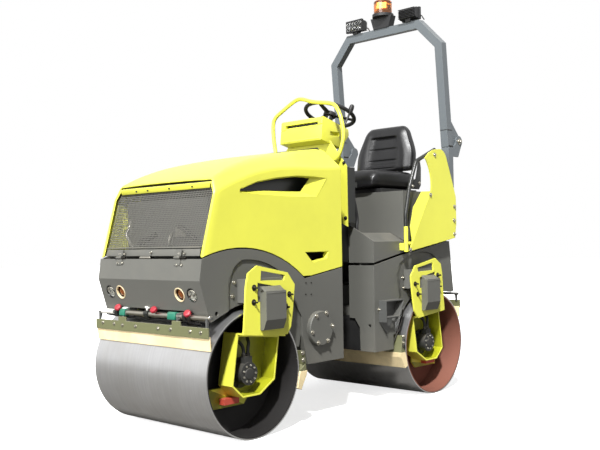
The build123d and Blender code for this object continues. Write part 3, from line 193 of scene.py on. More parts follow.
def facing(spot, normal, turn=0):
    """Matrix that takes a part made along +Z at the origin to a spot, with +Z along the normal."""
    side = Vector(normal).to_track_quat("Z", "Y").to_matrix().to_4x4()
    return Matrix.Translation(spot) @ side @ Matrix.Rotation(math.radians(turn), 4, "Z")


def flip(ob, axis):
    """Turn a piece into its mirror image across the machine's middle (X) or midway line (Y)."""
    across = Matrix.Scale(-1, 4, Vector((1, 0, 0)) if axis == "X" else Vector((0, 1, 0)))
    ob.data.transform(Matrix.Translation(SHIFT) @ across @ Matrix.Translation(-SHIFT))
    ob.data.flip_normals()
    return ob


def mirrored(ob):
    """The same piece on the machine's other side."""
    return flip(copy_of(ob), "X")


def pipe(name, points, radius, sides=12, rings=8):
    """Round bar or hose along a smooth line through the machine, points in millimetres."""
    curve = bpy.data.curves.new(name, "CURVE")
    curve.dimensions = "3D"
    spline = curve.splines.new("NURBS")
    spline.points.add(len(points) - 1)
    for point, place in zip(spline.points, points):
        point.co = (*at(*place), 1)
    spline.order_u = 3
    spline.use_endpoint_u = True
    curve.resolution_u = rings
    curve.bevel_depth = radius * MM
    curve.bevel_resolution = max(1, sides // 4 - 1)
    curve.use_fill_caps = True
    ob = bpy.data.objects.new(name, curve)
    bpy.context.scene.collection.objects.link(ob)
    pick(ob)
    bpy.ops.object.convert(target="MESH")
    return smooth(bpy.context.object, 50)


# ---- shader work --------------------------------------------------------------------------
def node(tree, kind, inputs=None, **settings):
    """Add a shader node; an input given as a socket is linked, anything else is its value."""
    made = tree.nodes.new(kind)
    for name, value in settings.items():
        setattr(made, name, value)
    for name, value in (inputs or {}).items():
        if isinstance(value, bpy.types.NodeSocket):
            tree.links.new(value, made.inputs[name])
        else:
            made.inputs[name].default_value = value
    return made


def number(tree, operation, *values, clamp=False):
    """Arithmetic on numbers and masks."""
    made = node(tree, "ShaderNodeMath", dict(enumerate(values)), operation=operation, use_clamp=clamp)
    return made.outputs[0]


def vector(tree, operation, *values):
    """Arithmetic on places and directions."""
    made = node(tree, "ShaderNodeVectorMath", dict(enumerate(values)), operation=operation)
    return made.outputs["Value" if operation in ("DOT_PRODUCT", "LENGTH") else "Vector"]


def parts_of(tree, place):
    return node(tree, "ShaderNodeSeparateXYZ", {0: place}).outputs


def on_piece(tree):
    return node(tree, "ShaderNodeTexCoord").outputs["Object"]


def face_normal(tree):
    return node(tree, "ShaderNodeNewGeometry").outputs["Normal"]


def noise(tree, place, scale, detail, roughness=0.5):
    return node(tree, "ShaderNodeTexNoise", {"Vector": place, "Scale": scale, "Detail": detail,
                                             "Roughness": roughness}).outputs["Fac"]


def spread(tree, value, low, high, bottom=0.0, top=1.0):
    """Stretch a value from one range to another."""
    ranges = {"From Min": low, "From Max": high, "To Min": bottom, "To Max": top}
    return node(tree, "ShaderNodeMapRange", {"Value": value, **ranges}).outputs["Result"]


def bump(tree, strength, distance, height, normal=None):
    inputs = {"Strength": strength, "Distance": distance, "Height": height}
    if normal is not None:
        inputs["Normal"] = normal
    return node(tree, "ShaderNodeBump", inputs).outputs["Normal"]


def linear(colour):
    """Colour given as 0..255 in the usual screen scale."""
    shares = [c / 255 for c in colour]
    return [c / 12.92 if c <= 0.04045 else ((c + 0.055) / 1.055) ** 2.4 for c in shares] + [1]


def shaded(colour, factor):
    """A darker or brighter shade of a linear colour."""
    return [min(1, c * factor) for c in colour[:3]] + [1]


def blend_colours(tree, share, first, second):
    """Mix two colours or colour sockets by a mask."""
    made = node(tree, "ShaderNodeMix", data_type="RGBA")
    for name, value in (("Factor", share), ("A", first), ("B", second)):
        socket = next(s for s in made.inputs if s.name == name and (s.type == "RGBA") == (name != "Factor"))
        if isinstance(value, bpy.types.NodeSocket):
            tree.links.new(value, socket)
        else:
            socket.default_value = value
    return next(s for s in made.outputs if s.type == "RGBA")


def scaled(tree, mask, factor):
    return number(tree, "MULTIPLY", mask, factor, clamp=True)


# ---- shared surface effects ---------------------------------------------------------------
FLOAT, VECTOR = "NodeSocketFloat", "NodeSocketVector"


def group(name, inputs, outputs):
    """Empty shader node group with named inputs (name, kind, value) and outputs (name, kind)."""
    tree = bpy.data.node_groups.new(name, "ShaderNodeTree")
    for label, kind, value in inputs:
        tree.interface.new_socket(name=label, in_out="INPUT", socket_type=kind).default_value = value
    for label, kind in outputs:
        tree.interface.new_socket(name=label, in_out="OUTPUT", socket_type=kind)
    source = tree.nodes.new("NodeGroupInput").outputs
    result = tree.nodes.new("NodeGroupOutput").inputs
    return tree, source, result


def make_mottle():
    """Slow uneven change over a surface, 0 to 1."""
    tree, source, result = group("mottle", [("Size", FLOAT, 0.2), ("Sharpness", FLOAT, 0.3)],
                                 [("Mask", FLOAT)])
    cloud = noise(tree, on_piece(tree), number(tree, "DIVIDE", 1.0, source["Size"]), 5.0, 0.6)
    low = number(tree, "MULTIPLY_ADD", source["Sharpness"], 0.5, 0.25)
    mask = spread(tree, cloud, low, number(tree, "SUBTRACT", 1.0, low))
    tree.links.new(mask, result["Mask"])
    return tree


def make_edges():
    """Softened corners: a normal rounded over a width, and a mask of the edges rubbed bare."""
    tree, source, result = group("edges", [("Width", FLOAT, 0.003), ("Wear", FLOAT, 0.5)],
                                 [("Normal", VECTOR), ("Mask", FLOAT)])
    soft = node(tree, "ShaderNodeBevel", {"Radius": source["Width"]}, samples=6).outputs["Normal"]
    bend = number(tree, "SUBTRACT", 1.0, vector(tree, "DOT_PRODUCT", soft, face_normal(tree)))
    chips = noise(tree, on_piece(tree), 70.0, 4.0)
    rubbed = number(tree, "MULTIPLY_ADD", number(tree, "MULTIPLY", bend, source["Wear"]), chips, -0.06)
    tree.links.new(soft, result["Normal"])
    tree.links.new(spread(tree, rubbed, 0.0, 0.05), result["Mask"])
    return tree


def make_grain():
    """Fine height pattern of a sprayed, cast or moulded surface."""
    tree, source, result = group("grain", [("Size", FLOAT, 0.002), ("Pebbles", FLOAT, 0.0)],
                                 [("Height", FLOAT)])
    place = on_piece(tree)
    scale = number(tree, "DIVIDE", 1.0, source["Size"])
    cells = node(tree, "ShaderNodeTexVoronoi", {"Vector": place, "Scale": scale}, feature="SMOOTH_F1")
    mix = node(tree, "ShaderNodeMix", {"Factor": source["Pebbles"], "A": noise(tree, place, scale, 3.0),
                                       "B": cells.outputs["Distance"]})
    tree.links.new(mix.outputs["Result"], result["Height"])
    return tree


def make_dust():
    """Where dust settles: faces that look up, and everything near the ground, unevenly."""
    tree, source, result = group("dust", [("Upward", FLOAT, 0.5), ("Splash height", FLOAT, 0.4)],
                                 [("Mask", FLOAT)])
    place = on_piece(tree)
    lying = scaled(tree, parts_of(tree, face_normal(tree))["Z"], source["Upward"])
    splash = spread(tree, parts_of(tree, place)["Z"], source["Splash height"], 0.0, 0.0, 0.8)
    patch = spread(tree, noise(tree, place, 9.0, 7.0, 0.7), 0.35, 0.75)
    tree.links.new(scaled(tree, number(tree, "MAXIMUM", lying, splash), patch), result["Mask"])
    return tree


def make_scratches():
    """Fine hairlines, stretched along one axis by the Stretch vector."""
    tree, source, result = group("scratches", [("Stretch", VECTOR, (1, 1, 1)), ("Scale", FLOAT, 60.0),
                                               ("Amount", FLOAT, 0.4)], [("Mask", FLOAT)])
    pulled = vector(tree, "MULTIPLY", on_piece(tree), source["Stretch"])
    hairs = noise(tree, pulled, source["Scale"], 8.0, 0.75)
    mask = spread(tree, hairs, number(tree, "SUBTRACT", 0.8, source["Amount"]), 0.8)
    tree.links.new(mask, result["Mask"])
    return tree


MOTTLE, EDGES, GRAIN = make_mottle(), make_edges(), make_grain()
DUST, SCRATCHES = make_dust(), make_scratches()


def effect(tree, shared, **inputs):
    """Place a shared effect in a material with its own values."""
    made = tree.nodes.new("ShaderNodeGroup")
    made.node_tree = shared
    for name, value in inputs.items():
        made.inputs[name.replace("_", " ")].default_value = value
    return made.outputs


# ---- kinds of finish ----------------------------------------------------------------------
def shader(name):
    """New material with an empty Principled surface."""
    material = bpy.data.materials.new(name)
    material.use_nodes = True
    return material, material.node_tree, material.node_tree.nodes["Principled BSDF"]


def lead_in(tree, surface, tone, gloss, relief):
    """Link colour, roughness and normal to the surface."""
    for name, socket in (("Base Color", tone), ("Roughness", gloss), ("Normal", relief)):
        tree.links.new(socket, surface.inputs[name])


DUST_COLOUR = linear((172, 162, 142))


def paint(name, colour, rough=0.38, coat=0.15, dust=0.35, wear=0.5, under=(120, 118, 112)):
    """Sprayed coat: slight unevenness, orange peel, soft edges rubbed through, dust on top."""
    material, tree, surface = shader(name)
    base = linear(colour)
    worn = effect(tree, EDGES, Width=0.0025, Wear=wear)
    cloud = effect(tree, MOTTLE, Size=0.35, Sharpness=0.2)["Mask"]
    dusty = effect(tree, DUST, Upward=0.7, Splash_height=0.45)["Mask"]
    lines = effect(tree, SCRATCHES, Scale=40.0, Amount=0.22, Stretch=(1, 6, 1))["Mask"]
    tone = blend_colours(tree, cloud, shaded(base, 0.93), base)
    tone = blend_colours(tree, scaled(tree, worn["Mask"], 0.7), tone, linear(under))
    tone = blend_colours(tree, scaled(tree, dusty, dust), tone, DUST_COLOUR)
    gloss = number(tree, "MULTIPLY_ADD", lines, 0.12, rough)
    gloss = number(tree, "MULTIPLY_ADD", dusty, 0.35 * dust, gloss)
    peel = effect(tree, GRAIN, Size=0.0016)["Height"]
    lead_in(tree, surface, tone, gloss, bump(tree, 0.10, 0.0004, peel, worn["Normal"]))
    surface.inputs["Coat Weight"].default_value = coat
    surface.inputs["Coat Roughness"].default_value = 0.25
    return material


def metal(name, colour, rough=0.35, stretch=(1, 1, 1), lines=0.25, dirt_share=0.35):
    """Bare or plated metal with hairlines, stains and soft edges."""
    material, tree, surface = shader(name)
    base = linear(colour)
    hair = effect(tree, SCRATCHES, Scale=60.0, Amount=lines, Stretch=stretch)["Mask"]
    stain = effect(tree, MOTTLE, Size=0.08, Sharpness=0.5)["Mask"]
    tone = blend_colours(tree, hair, base, shaded(base, 1.25))
    tone = blend_colours(tree, scaled(tree, stain, dirt_share), tone, linear((70, 62, 52)))
    gloss = number(tree, "MULTIPLY_ADD", stain, 0.2, rough)
    soft = effect(tree, EDGES, Width=0.001, Wear=0.0)["Normal"]
    lead_in(tree, surface, tone, gloss, bump(tree, 0.15, 0.0003, hair, soft))
    surface.inputs["Metallic"].default_value = 1.0
    return material


def moulded(name, colour, rough=0.5, size=0.0012, depth=0.25, pebbles=0.7, dust=0.15):
    """Moulded plastic, rubber or vinyl with a leather-like grain."""
    material, tree, surface = shader(name)
    base = linear(colour)
    patch = effect(tree, MOTTLE, Size=0.12, Sharpness=0.3)["Mask"]
    dusty = effect(tree, DUST, Upward=0.5, Splash_height=0.2)["Mask"]
    tone = blend_colours(tree, patch, shaded(base, 0.8), base)
    tone = blend_colours(tree, scaled(tree, dusty, dust), tone, DUST_COLOUR)
    gloss = number(tree, "MULTIPLY_ADD", patch, 0.12, rough)
    grain = effect(tree, GRAIN, Size=size, Pebbles=pebbles)["Height"]
    soft = effect(tree, EDGES, Width=0.002, Wear=0.0)["Normal"]
    lead_in(tree, surface, tone, gloss, bump(tree, depth, 0.0005, grain, soft))
    return material


def glass(name, colour, rough=0.05, weight=1.0):
    """Clear or tinted lens, faintly uneven."""
    material, tree, surface = shader(name)
    base = linear(colour)
    cloud = effect(tree, MOTTLE, Size=0.03, Sharpness=0.3)["Mask"]
    ripple = effect(tree, GRAIN, Size=0.006)["Height"]
    tree.links.new(blend_colours(tree, cloud, base, shaded(base, 0.85)), surface.inputs["Base Color"])
    tree.links.new(bump(tree, 0.15, 0.0004, ripple), surface.inputs["Normal"])
    surface.inputs["Roughness"].default_value = rough
    surface.inputs["Transmission Weight"].default_value = weight
    return material


BORE = 0.2835


def from_axle(tree, place, axle):
    """Direction from a drum's axle to a place, without its part along the axle."""
    return vector(tree, "MULTIPLY", vector(tree, "SUBTRACT", place, axle), (0, 1, 1))


def drum_steel(name, axle, inside, inside_lit):
    """Rolled steel polished by the ground, with fine rings round the drum; inside, a mottle of a dark and a lit
    copy of the primer, painted light and shade.
    """
    material, tree, surface = shader(name)
    place = on_piece(tree)
    rings = noise(tree, vector(tree, "MULTIPLY", place, (1.0, 0.03, 0.03)), 90.0, 9.0, 0.75)
    bands = spread(tree, rings, 0.3, 0.7)
    cloud = effect(tree, MOTTLE, Size=0.25, Sharpness=0.35)["Mask"]
    tone = blend_colours(tree, bands, linear((196, 196, 197)), linear((212, 212, 212)))
    tone = blend_colours(tree, scaled(tree, cloud, 0.30), tone, linear((184, 182, 178)))
    hollow = number(tree, "LESS_THAN", vector(tree, "LENGTH", from_axle(tree, place, axle)), BORE)
    # Inside the bore: mottle between the shaded and the lit copy of the primer, painted light and shade.
    painted_shading_mottle = effect(tree, MOTTLE, Size=0.12, Sharpness=0.5)["Mask"]
    tone = blend_colours(tree, hollow, tone, blend_colours(tree, painted_shading_mottle, linear(inside), linear(inside_lit)))
    gloss = number(tree, "MULTIPLY_ADD", bands, -0.06, 0.36)
    gloss = number(tree, "MULTIPLY_ADD", hollow, 0.4, gloss)
    lead_in(tree, surface, tone, gloss, bump(tree, 0.05, 0.0003, rings))
    tree.links.new(number(tree, "SUBTRACT", 0.9, scaled(tree, hollow, 0.9)), surface.inputs["Metallic"])
    return material


LIME_COAT = {"colour": (229, 228, 80), "rough": 0.36, "coat": 0.2, "dust": 0.10, "wear": 0.35,
             "under": (150, 150, 90)}
CHANNEL_REACH, CHANNEL_TOP = 0.3905, 0.458


def channel_paint(name, axle):
    """The lime coat, darkened on the inward-facing walls of the channel round an axle as painted shade."""
    material = paint(name, **LIME_COAT)
    tree = material.node_tree
    surface = tree.nodes["Principled BSDF"]
    unshaded_tone = surface.inputs["Base Color"].links[0].from_socket
    place = on_piece(tree)
    parts = parts_of(tree, place)
    sunk = number(tree, "LESS_THAN", number(tree, "ABSOLUTE", parts["X"]), CHANNEL_REACH)
    below = number(tree, "LESS_THAN", parts["Z"], CHANNEL_TOP)
    outward = vector(tree, "DOT_PRODUCT", from_axle(tree, place, axle), face_normal(tree))
    inner = number(tree, "LESS_THAN", outward, 0.002)
    share = number(tree, "MULTIPLY", number(tree, "MULTIPLY", sunk, below), inner)
    # Olive tone on the channel's inward-facing walls is painted shade, mottled unevenly.
    channel_shade_tone = linear((158, 160, 30))
    cloud = effect(tree, MOTTLE, Size=0.09, Sharpness=0.4)["Mask"]
    painted_shading_mottle = blend_colours(tree, cloud, channel_shade_tone, shaded(channel_shade_tone, 0.8))
    tree.links.new(blend_colours(tree, share, unshaded_tone, painted_shading_mottle), surface.inputs["Base Color"])
    return material


# ---- the machine's finishes ---------------------------------------------------------------
LIME = paint("lime paint", **LIME_COAT)
GREY = paint("grey paint", (92, 92, 87), rough=0.48, coat=0.05, dust=0.35, wear=0.35)
DARK_GREY = paint("dark grey paint", (78, 79, 77), rough=0.5, coat=0.05, dust=0.4, wear=0.4)
BAR_GREY = paint("roll bar paint", (98, 104, 108), rough=0.4, coat=0.15, dust=0.2, wear=0.4)
BLACK = paint("black paint", (22, 24, 22), rough=0.4, coat=0.1, dust=0.12, wear=0.4, under=(95, 93, 88))
OLIVE = paint("olive paint", (98, 100, 68), rough=0.55, coat=0.0, dust=0.5, wear=0.9, under=(190, 188, 170))
RED = paint("red paint", (185, 52, 34), rough=0.45, coat=0.1, dust=0.4, wear=0.5)
GREEN = paint("green paint", (28, 110, 88), rough=0.45, coat=0.1, dust=0.3, wear=0.5)
KNOB_RED = paint("knob red", (152, 24, 42), rough=0.4, dust=0.15, wear=0.3)
PEARL = paint("pearl reflector", (206, 202, 186), rough=0.22, coat=0.6, dust=0.0, wear=0.0)
GRILLE_GREY = paint("grille paint", (112, 111, 105), rough=0.5, dust=0.2, wear=0.2)
# The front drum's near-black inside is painted shade over the same red-brown primer as the rear; the rear's two
# colours are a shaded and a lit copy of that primer.
DRUM = drum_steel("front drum steel", middle("drum_front"), (13, 10, 9), (25, 18, 15))
REAR_DRUM = drum_steel("rear drum steel", middle("drum_rear"), (116, 72, 58), (212, 150, 130))
ZINC = metal("zinc plate", (182, 178, 166), rough=0.3)
STEEL = metal("turned steel", (165, 165, 162), rough=0.25, stretch=(8, 1, 8), lines=0.3)
OXIDE = metal("black oxide steel", (64, 62, 58), rough=0.42)
CHROME = metal("bright reflector", (225, 225, 222), rough=0.08, lines=0.05, dirt_share=0.05)
CAST = moulded("cast iron", (44, 44, 42), rough=0.62, size=0.004, depth=0.6, pebbles=0.4, dust=0.5)
CREAM = moulded("cast polyurethane", (236, 216, 170), rough=0.42, size=0.003, depth=0.15, pebbles=0.2,
                dust=0.3)
VINYL = moulded("seat vinyl", (15, 15, 17), rough=0.33, size=0.0022, depth=0.3, pebbles=0.85, dust=0.02)
RUBBER = moulded("black rubber", (24, 24, 24), rough=0.55, size=0.0015, depth=0.2, dust=0.12)
PLASTIC = moulded("black plastic", (28, 28, 29), rough=0.42, size=0.001, depth=0.2, dust=0.1)
BEIGE = moulded("pale bezel plastic", (214, 196, 158), rough=0.35, size=0.002, depth=0.1, dust=0.2)
WARM = moulded("warm reflector plastic", (150, 112, 66), rough=0.3, size=0.003, depth=0.3, dust=0.0)
WHITE = moulded("pale plastic", (226, 224, 216), rough=0.4, size=0.002, depth=0.1, dust=0.3)
LENS = glass("clear lens", (245, 247, 248))
AMBER = glass("amber lens", (250, 150, 70), rough=0.1, weight=0.9)
BROWN_AMBER = glass("brown amber lens", (168, 96, 40), rough=0.18, weight=0.55)

FINISH = {"yellow_paint": LIME, "grey_paint": GREY, "dark_grey_paint": DARK_GREY, "roll_bar_paint": BAR_GREY,
          "black_paint": BLACK, "drum_steel": DRUM, "bare_steel": STEEL, "olive_paint": OLIVE,
          "scraper_plastic": CREAM, "seat_vinyl": VINYL, "black_plastic": PLASTIC, "lamp_glass": LENS,
          "amber_lens": AMBER, "cast_metal": CAST, "red_plastic": RED}
OWN_FINISH = {"drum_rear": REAR_DRUM, "hood_hinges_lower": GREY, "hood_hinges_upper": GREY}
# Each yoke's paint carries painted shade on the channel walls round its axle.
YOKE_PAINT = {end: channel_paint(end + " yoke paint", middle("drum_" + end)) for end in ("front", "rear")}
for part in frame["record"]["subparts"]:
    solid = frame["nodes"][part["node"]]
    solid.data.materials.clear()
    solid.data.materials.append(OWN_FINISH.get(part["node"], FINISH[part["material_slot"]]))


def fit(ob, body, material):
    """Give a finished piece its material and its body."""
    ob.data.materials.clear()
    ob.data.materials.append(material)
    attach(ob, body)
    return ob


# ---- pieces: how they are made ------------------------------------------------------------
def frame_of(across, up, out, spot):
    """Matrix that takes a part drawn in its own X, Y and Z to a place on the machine."""
    turn = Matrix((Vector(across), Vector(up), Vector(out))).transposed().to_4x4()
    return Matrix.Translation(at(*spot)) @ turn


def on_side(x, y=0, z=0):
    """Drawing board on the machine's left side: y and z along it, +Z of the part outward."""
    return frame_of((0, 1, 0), (0, 0, 1), (1, 0, 0), (x, y, z))


def on_flank(side, x, thickness):
    """Drawing board on either side for a plate of some thickness whose inner face is at x."""
    return on_side(x if side > 0 else -x - thickness)


def on_front(y, x=0, z=0):
    """Drawing board that faces ahead: x and z along it, +Z of the part forward."""
    return frame_of((1, 0, 0), (0, 0, 1), (0, -1, 0), (x, y, z))


def level_rectangle(half, low, high, half_high=None):
    """Outline as wide at its foot as half says each way, and half_high at its top."""
    top = half if half_high is None else half_high
    return [(-half, low), (half, low), (top, high), (-top, high)]


def plate(name, outline, thickness, place, edge=0.0, segments=2):
    """Flat plate: corners of its outline in millimetres, its thickness, then put in place."""
    deselect()
    bpy.ops.mesh.primitive_circle_add(vertices=len(outline), fill_type="NGON")
    ob = bpy.context.object
    ob.name = name
    for corner, spot in zip(ob.data.vertices, outline):
        corner.co = (spot[0] * MM, spot[1] * MM, 0)
    pick(ob)
    bpy.ops.object.mode_set(mode="EDIT")
    bpy.ops.mesh.select_all(action="SELECT")
    bpy.ops.mesh.extrude_region_move(TRANSFORM_OT_translate={"value": (0, 0, thickness * MM)})
    leave_edit()
    recalculate(ob)
    if edge:
        rounded(ob, edge, segments)
    ob.data.transform(place)
    return smooth(ob)


def lay_sheet(name, rows):
    """Sheet through rows of places, each row as long as the others."""
    deselect()
    bpy.ops.mesh.primitive_grid_add(x_subdivisions=len(rows[0]) - 1, y_subdivisions=len(rows) - 1, size=1)
    ob = bpy.context.object
    ob.name = name
    for corner, spot in zip(ob.data.vertices, [spot for row in rows for spot in row]):
        corner.co = spot
    return ob


def thicken(ob, thickness, offset=-1.0, even=True):
    """Give a sheet its thickness, in millimetres."""
    modifier = ob.modifiers.new("thickness", "SOLIDIFY")
    modifier.thickness = thickness * MM
    modifier.offset = offset
    modifier.use_even_offset = even
    finish_modifiers(ob)
    return ob


def cut(ob, cutter):
    """Take a closed cutter out of a piece and throw the cutter away."""
    modifier = ob.modifiers.new("cut", "BOOLEAN")
    modifier.operation = "DIFFERENCE"
    modifier.solver = "EXACT"
    modifier.object = cutter
    finish_modifiers(ob)
    bpy.data.objects.remove(cutter)
    return ob


def turned(name, profile, sides=32, closed=False):
    """Body of revolution about Z from (radius, height) points in millimetres, by a spin."""
    deselect()
    bpy.ops.mesh.primitive_circle_add(vertices=len(profile), fill_type="NOTHING")
    ob = bpy.context.object
    ob.name = name
    for corner, (radius, height) in zip(ob.data.vertices, profile):
        corner.co = (radius * MM, 0, height * MM)
    pick(ob)
    bpy.ops.object.mode_set(mode="EDIT")
    bpy.ops.mesh.select_mode(type="EDGE")
    if not closed:
        bpy.ops.mesh.select_all(action="DESELECT")
        mesh = bmesh.from_edit_mesh(ob.data)
        mesh.verts.ensure_lookup_table()
        last = [e for e in mesh.edges if {v.index for v in e.verts} == {0, len(profile) - 1}]
        last[0].select_set(True)
        bmesh.update_edit_mesh(ob.data)
        bpy.ops.mesh.delete(type="EDGE_FACE")
    bpy.ops.mesh.select_all(action="SELECT")
    bpy.ops.mesh.spin(steps=sides, angle=math.tau, center=(0, 0, 0), axis=(0, 0, 1))
    bpy.ops.mesh.select_all(action="SELECT")
    bpy.ops.mesh.remove_doubles(threshold=0.00002)
    bpy.ops.mesh.normals_make_consistent(inside=False)
    leave_edit()
    return smooth(ob)


def hexagon_bolt(across):
    """Hexagon head with a chamfered top on a washer."""
    washer = round_bar("washer", across * 0.95, 1.6, 20)
    rounded(washer, 0.4, 1)
    head = round_bar("head", across * 0.577, across * 0.62 + 1.4, 6)
    rounded(head, across * 0.07, 1, 50)
    return join("hexagon bolt", [head, washer])


def cap_screw(radius):
    """Round head with a sunk socket."""
    ob = round_bar("cap screw", radius, radius * 1.1, 18)
    edit_faces(ob, lambda c, n: n.z > 0.9)
    bpy.ops.mesh.inset(thickness=radius * 0.42 * MM)
    bpy.ops.mesh.extrude_region_move(TRANSFORM_OT_translate={"value": (0, 0, -radius * 0.7 * MM)})
    leave_edit()
    return rounded(ob, radius * 0.12, 1)


def stud_nut(across, stud):
    """Nut on a washer with the end of its stud standing out."""
    nut = hexagon_bolt(across)
    end = round_bar("stud", across * 0.3, across * 0.62 + stud, 14)
    rounded(end, across * 0.06, 1)
    return join("stud nut", [nut, end])


turns = random.Random(7)


def fastened(name, pattern, spots, normal, body, material):
    """Copies of one fastener at places on the machine, joined to one piece; the pattern goes."""
    copies = [copy_of(pattern, facing(at(*spot), normal, turns.uniform(0, 60))) for spot in spots]
    bpy.data.objects.remove(pattern)
    return fit(join(name, copies), body, material)


def smooth_line(table, y):
    """Height of a smooth line through (y, value) points."""
    k = max(1, min(len(table) - 2, sum(1 for point in table if point[0] <= y)))
    spans = []
    for i in (k - 1, k):
        before, after = table[max(i - 1, 0)], table[min(i + 1, len(table) - 1)]
        spans.append((after[1] - before[1]) / (after[0] - before[0]))
    (y0, v0), (y1, v1) = table[k - 1], table[k]
    step = y1 - y0
    t = (y - y0) / step
    return ((2 * t ** 3 - 3 * t ** 2 + 1) * v0 + (t ** 3 - 2 * t ** 2 + t) * step * spans[0]
            + (3 * t ** 2 - 2 * t ** 3) * v1 + (t ** 3 - t ** 2) * step * spans[1])


def corner_points(before, corner, after, radius, count):
    """Points of a soft corner between two straight runs."""
    before, corner, after = Vector(before), Vector(corner), Vector(after)
    start = corner + (before - corner).normalized() * radius
    end = corner + (after - corner).normalized() * radius
    points = []
    for i in range(count + 1):
        t = i / count
        points.append((1 - t) ** 2 * start + 2 * t * (1 - t) * corner + t ** 2 * end)
    return points


# ---- hood ---------------------------------------------------------------------------------
HOOD_SIDE, HOOD_REAR = 380, -58
HOOD_FOOT, HOOD_LEAN = (-997, 822), 0.27
# Along the hood: place, height of the crease, height of the roof's edge, half of its width.
HOOD_LINES = ((-1010, 1062, 1112, 350), (-913, 1109, 1168, 345), (-811, 1154, 1220, 338),
              (-691, 1198, 1264, 325), (-566, 1228, 1296, 310), (-434, 1244, 1322, 292),
              (-250, 1252, 1345, 266), (-58, 1257, 1367, 243))
CREASE, ROOF, ROOF_HALF = ([(line[0], line[k]) for line in HOOD_LINES] for k in (1, 2, 3))
SKIRT = ((-998, 822), (-743, 862), (-344, 711))
SKIRT_END = (HOOD_REAR, 756)
SKIN_ROWS = (-950, -905, -860, -800, -743, -690, -630, -570, -510, -450, -395, -344, -290, -230, -170,
             -110, HOOD_REAR)


def front_at(z):
    """How far ahead the hood's front reaches at a height."""
    return HOOD_FOOT[0] + (z - HOOD_FOOT[1]) * HOOD_LEAN


def skirt_height(y):
    """Lower edge of the hood's side: an arc over the drum, then a straight run to the firewall."""
    (y1, z1), (y2, z2), (y3, z3) = SKIRT
    if y >= y3:
        return z3 + (SKIRT_END[1] - z3) * (y - y3) / (SKIRT_END[0] - y3)
    half = 2 * (y1 * (z2 - z3) + y2 * (z3 - z1) + y3 * (z1 - z2))
    first, second, third = y1 * y1 + z1 * z1, y2 * y2 + z2 * z2, y3 * y3 + z3 * z3
    cy = (first * (z2 - z3) + second * (z3 - z1) + third * (z1 - z2)) / half
    cz = (first * (y3 - y2) + second * (y1 - y3) + third * (y2 - y1)) / half
    return cz + math.sqrt((y2 - cy) ** 2 + (z2 - cz) ** 2 - (y - cy) ** 2)


def hood_half_section(y, inset):
    """Points (x, z) from the hood's lower edge up its side and over to the middle."""
    crease, roof, half = smooth_line(CREASE, y), smooth_line(ROOF, y), smooth_line(ROOF_HALF, y)
    side = HOOD_SIDE - inset
    foot = skirt_height(max(y, HOOD_FOOT[0]))
    bank = math.hypot(side - half, roof - crease)
    softness = min(1.0, 0.25 + 0.004 * (y - HOOD_FOOT[0] - 60))
    edge = corner_points((side, foot), (side, crease - inset * 0.4), (half, roof - inset * 0.7),
                         min(12, bank * 0.4), 6)
    brow = corner_points((side, crease), (half - inset * 0.4, roof - inset * 0.8), (0, roof - inset * 0.8),
                         max(5, min(46, bank * 0.45) * softness), 6)
    flank = [Vector((side, foot + (edge[0].y - foot) * share)) for share in (0, 0.3, 0.6, 0.85)]
    crown = [Vector((half * 0.5, roof + 3 - inset * 0.8)), Vector((0, roof + 4 - inset * 0.8))]
    return flank + edge + brow + crown


def hood_skin():
    """Left half of the bonnet's skin, from front to rear; each row follows the leaning front."""
    length = HOOD_REAR - HOOD_FOOT[0]
    along = [(0, 6), (0.006, 1.4), (0.014, 0)] + [((y - HOOD_FOOT[0]) / length, 0) for y in SKIN_ROWS]
    rows = []
    for share, inset in along:
        row = []
        for i in range(len(hood_half_section(-500, 0))):
            y = HOOD_FOOT[0] + share * length
            for _ in range(4):
                z = hood_half_section(y, inset)[i].y
                y = front_at(z) + share * (HOOD_REAR - front_at(z))
            x, z = hood_half_section(y, inset)[i]
            row.append(at(x, y, z))
        rows.append(row)
    return rows


# Openings in the hood's side: rim in the skin, smaller floor behind it.
VENTS = {"large": ([(-773, 1110), (-770, 1127), (-660, 1166), (-531, 1190), (-389, 1206), (-280, 1208),
                    (-169, 1204), (-249, 1106), (-390, 1102), (-533, 1103), (-660, 1106)],
                   [(-750, 1119), (-749, 1127), (-645, 1163), (-515, 1187), (-385, 1202), (-325, 1203),
                    (-272, 1200), (-342, 1131), (-450, 1127), (-553, 1126), (-650, 1123)]),
         "small": ([(-342, 835), (-163, 836), (-179, 798), (-284, 781)],
                   [(-326, 833), (-170, 834), (-182, 803), (-272, 788)])}
VENT_DEPTH = 24
DUCT = [(-810, 1085), (-150, 1085), (-150, 1222), (-560, 1222), (-700, 1180), (-810, 1140)]

hood = lay_sheet("hood_skin", hood_skin())
mirror = hood.modifiers.new("other side", "MIRROR")
mirror.merge_threshold = 0.0005
finish_modifiers(hood)
recalculate(hood)
highest = max(hood.data.polygons, key=lambda face: face.center.z)
if highest.normal.z < 0:
    hood.data.flip_normals()
thicken(hood, 5, even=False)
for rim, _ in VENTS.values():
    opening = plate("opening", rim, 40, on_side(HOOD_SIDE - 20))
    cut(hood, mirrored(opening))
    cut(hood, opening)
smooth(hood, 28)
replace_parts(fit(hood, HOOD, LIME), "hood")

for label, (rim, floor_line) in VENTS.items():
    layers = ((HOOD_SIDE - 0.5, rim), (HOOD_SIDE - VENT_DEPTH, floor_line))
    scoop = lay_sheet("hood_%s_scoop_left" % label, [[at(x, *spot) for spot in line + line[:1]]
                                                     for x, line in layers])
    edit_faces(scoop)
    bpy.ops.mesh.remove_doubles(threshold=0.0001)
    leave_edit()
    thicken(recalculate(scoop), 2.5, 0.0)
    fit(smooth(scoop, 25), HOOD, LIME)
    other = mirrored(scoop)
    other.name = "hood_%s_scoop_right" % label
    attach(other, HOOD)

for side, label in SIDES:
    fit(plate("vent_duct_" + label, DUCT, 4, on_flank(side, 300, 4), 1.5), HOOD, BLACK)

# ---- grille in the hood's leaning front ---------------------------------------------------
LEAN_LENGTH = math.hypot(1, HOOD_LEAN)
LEAN_OUT = (0, -1, HOOD_LEAN)


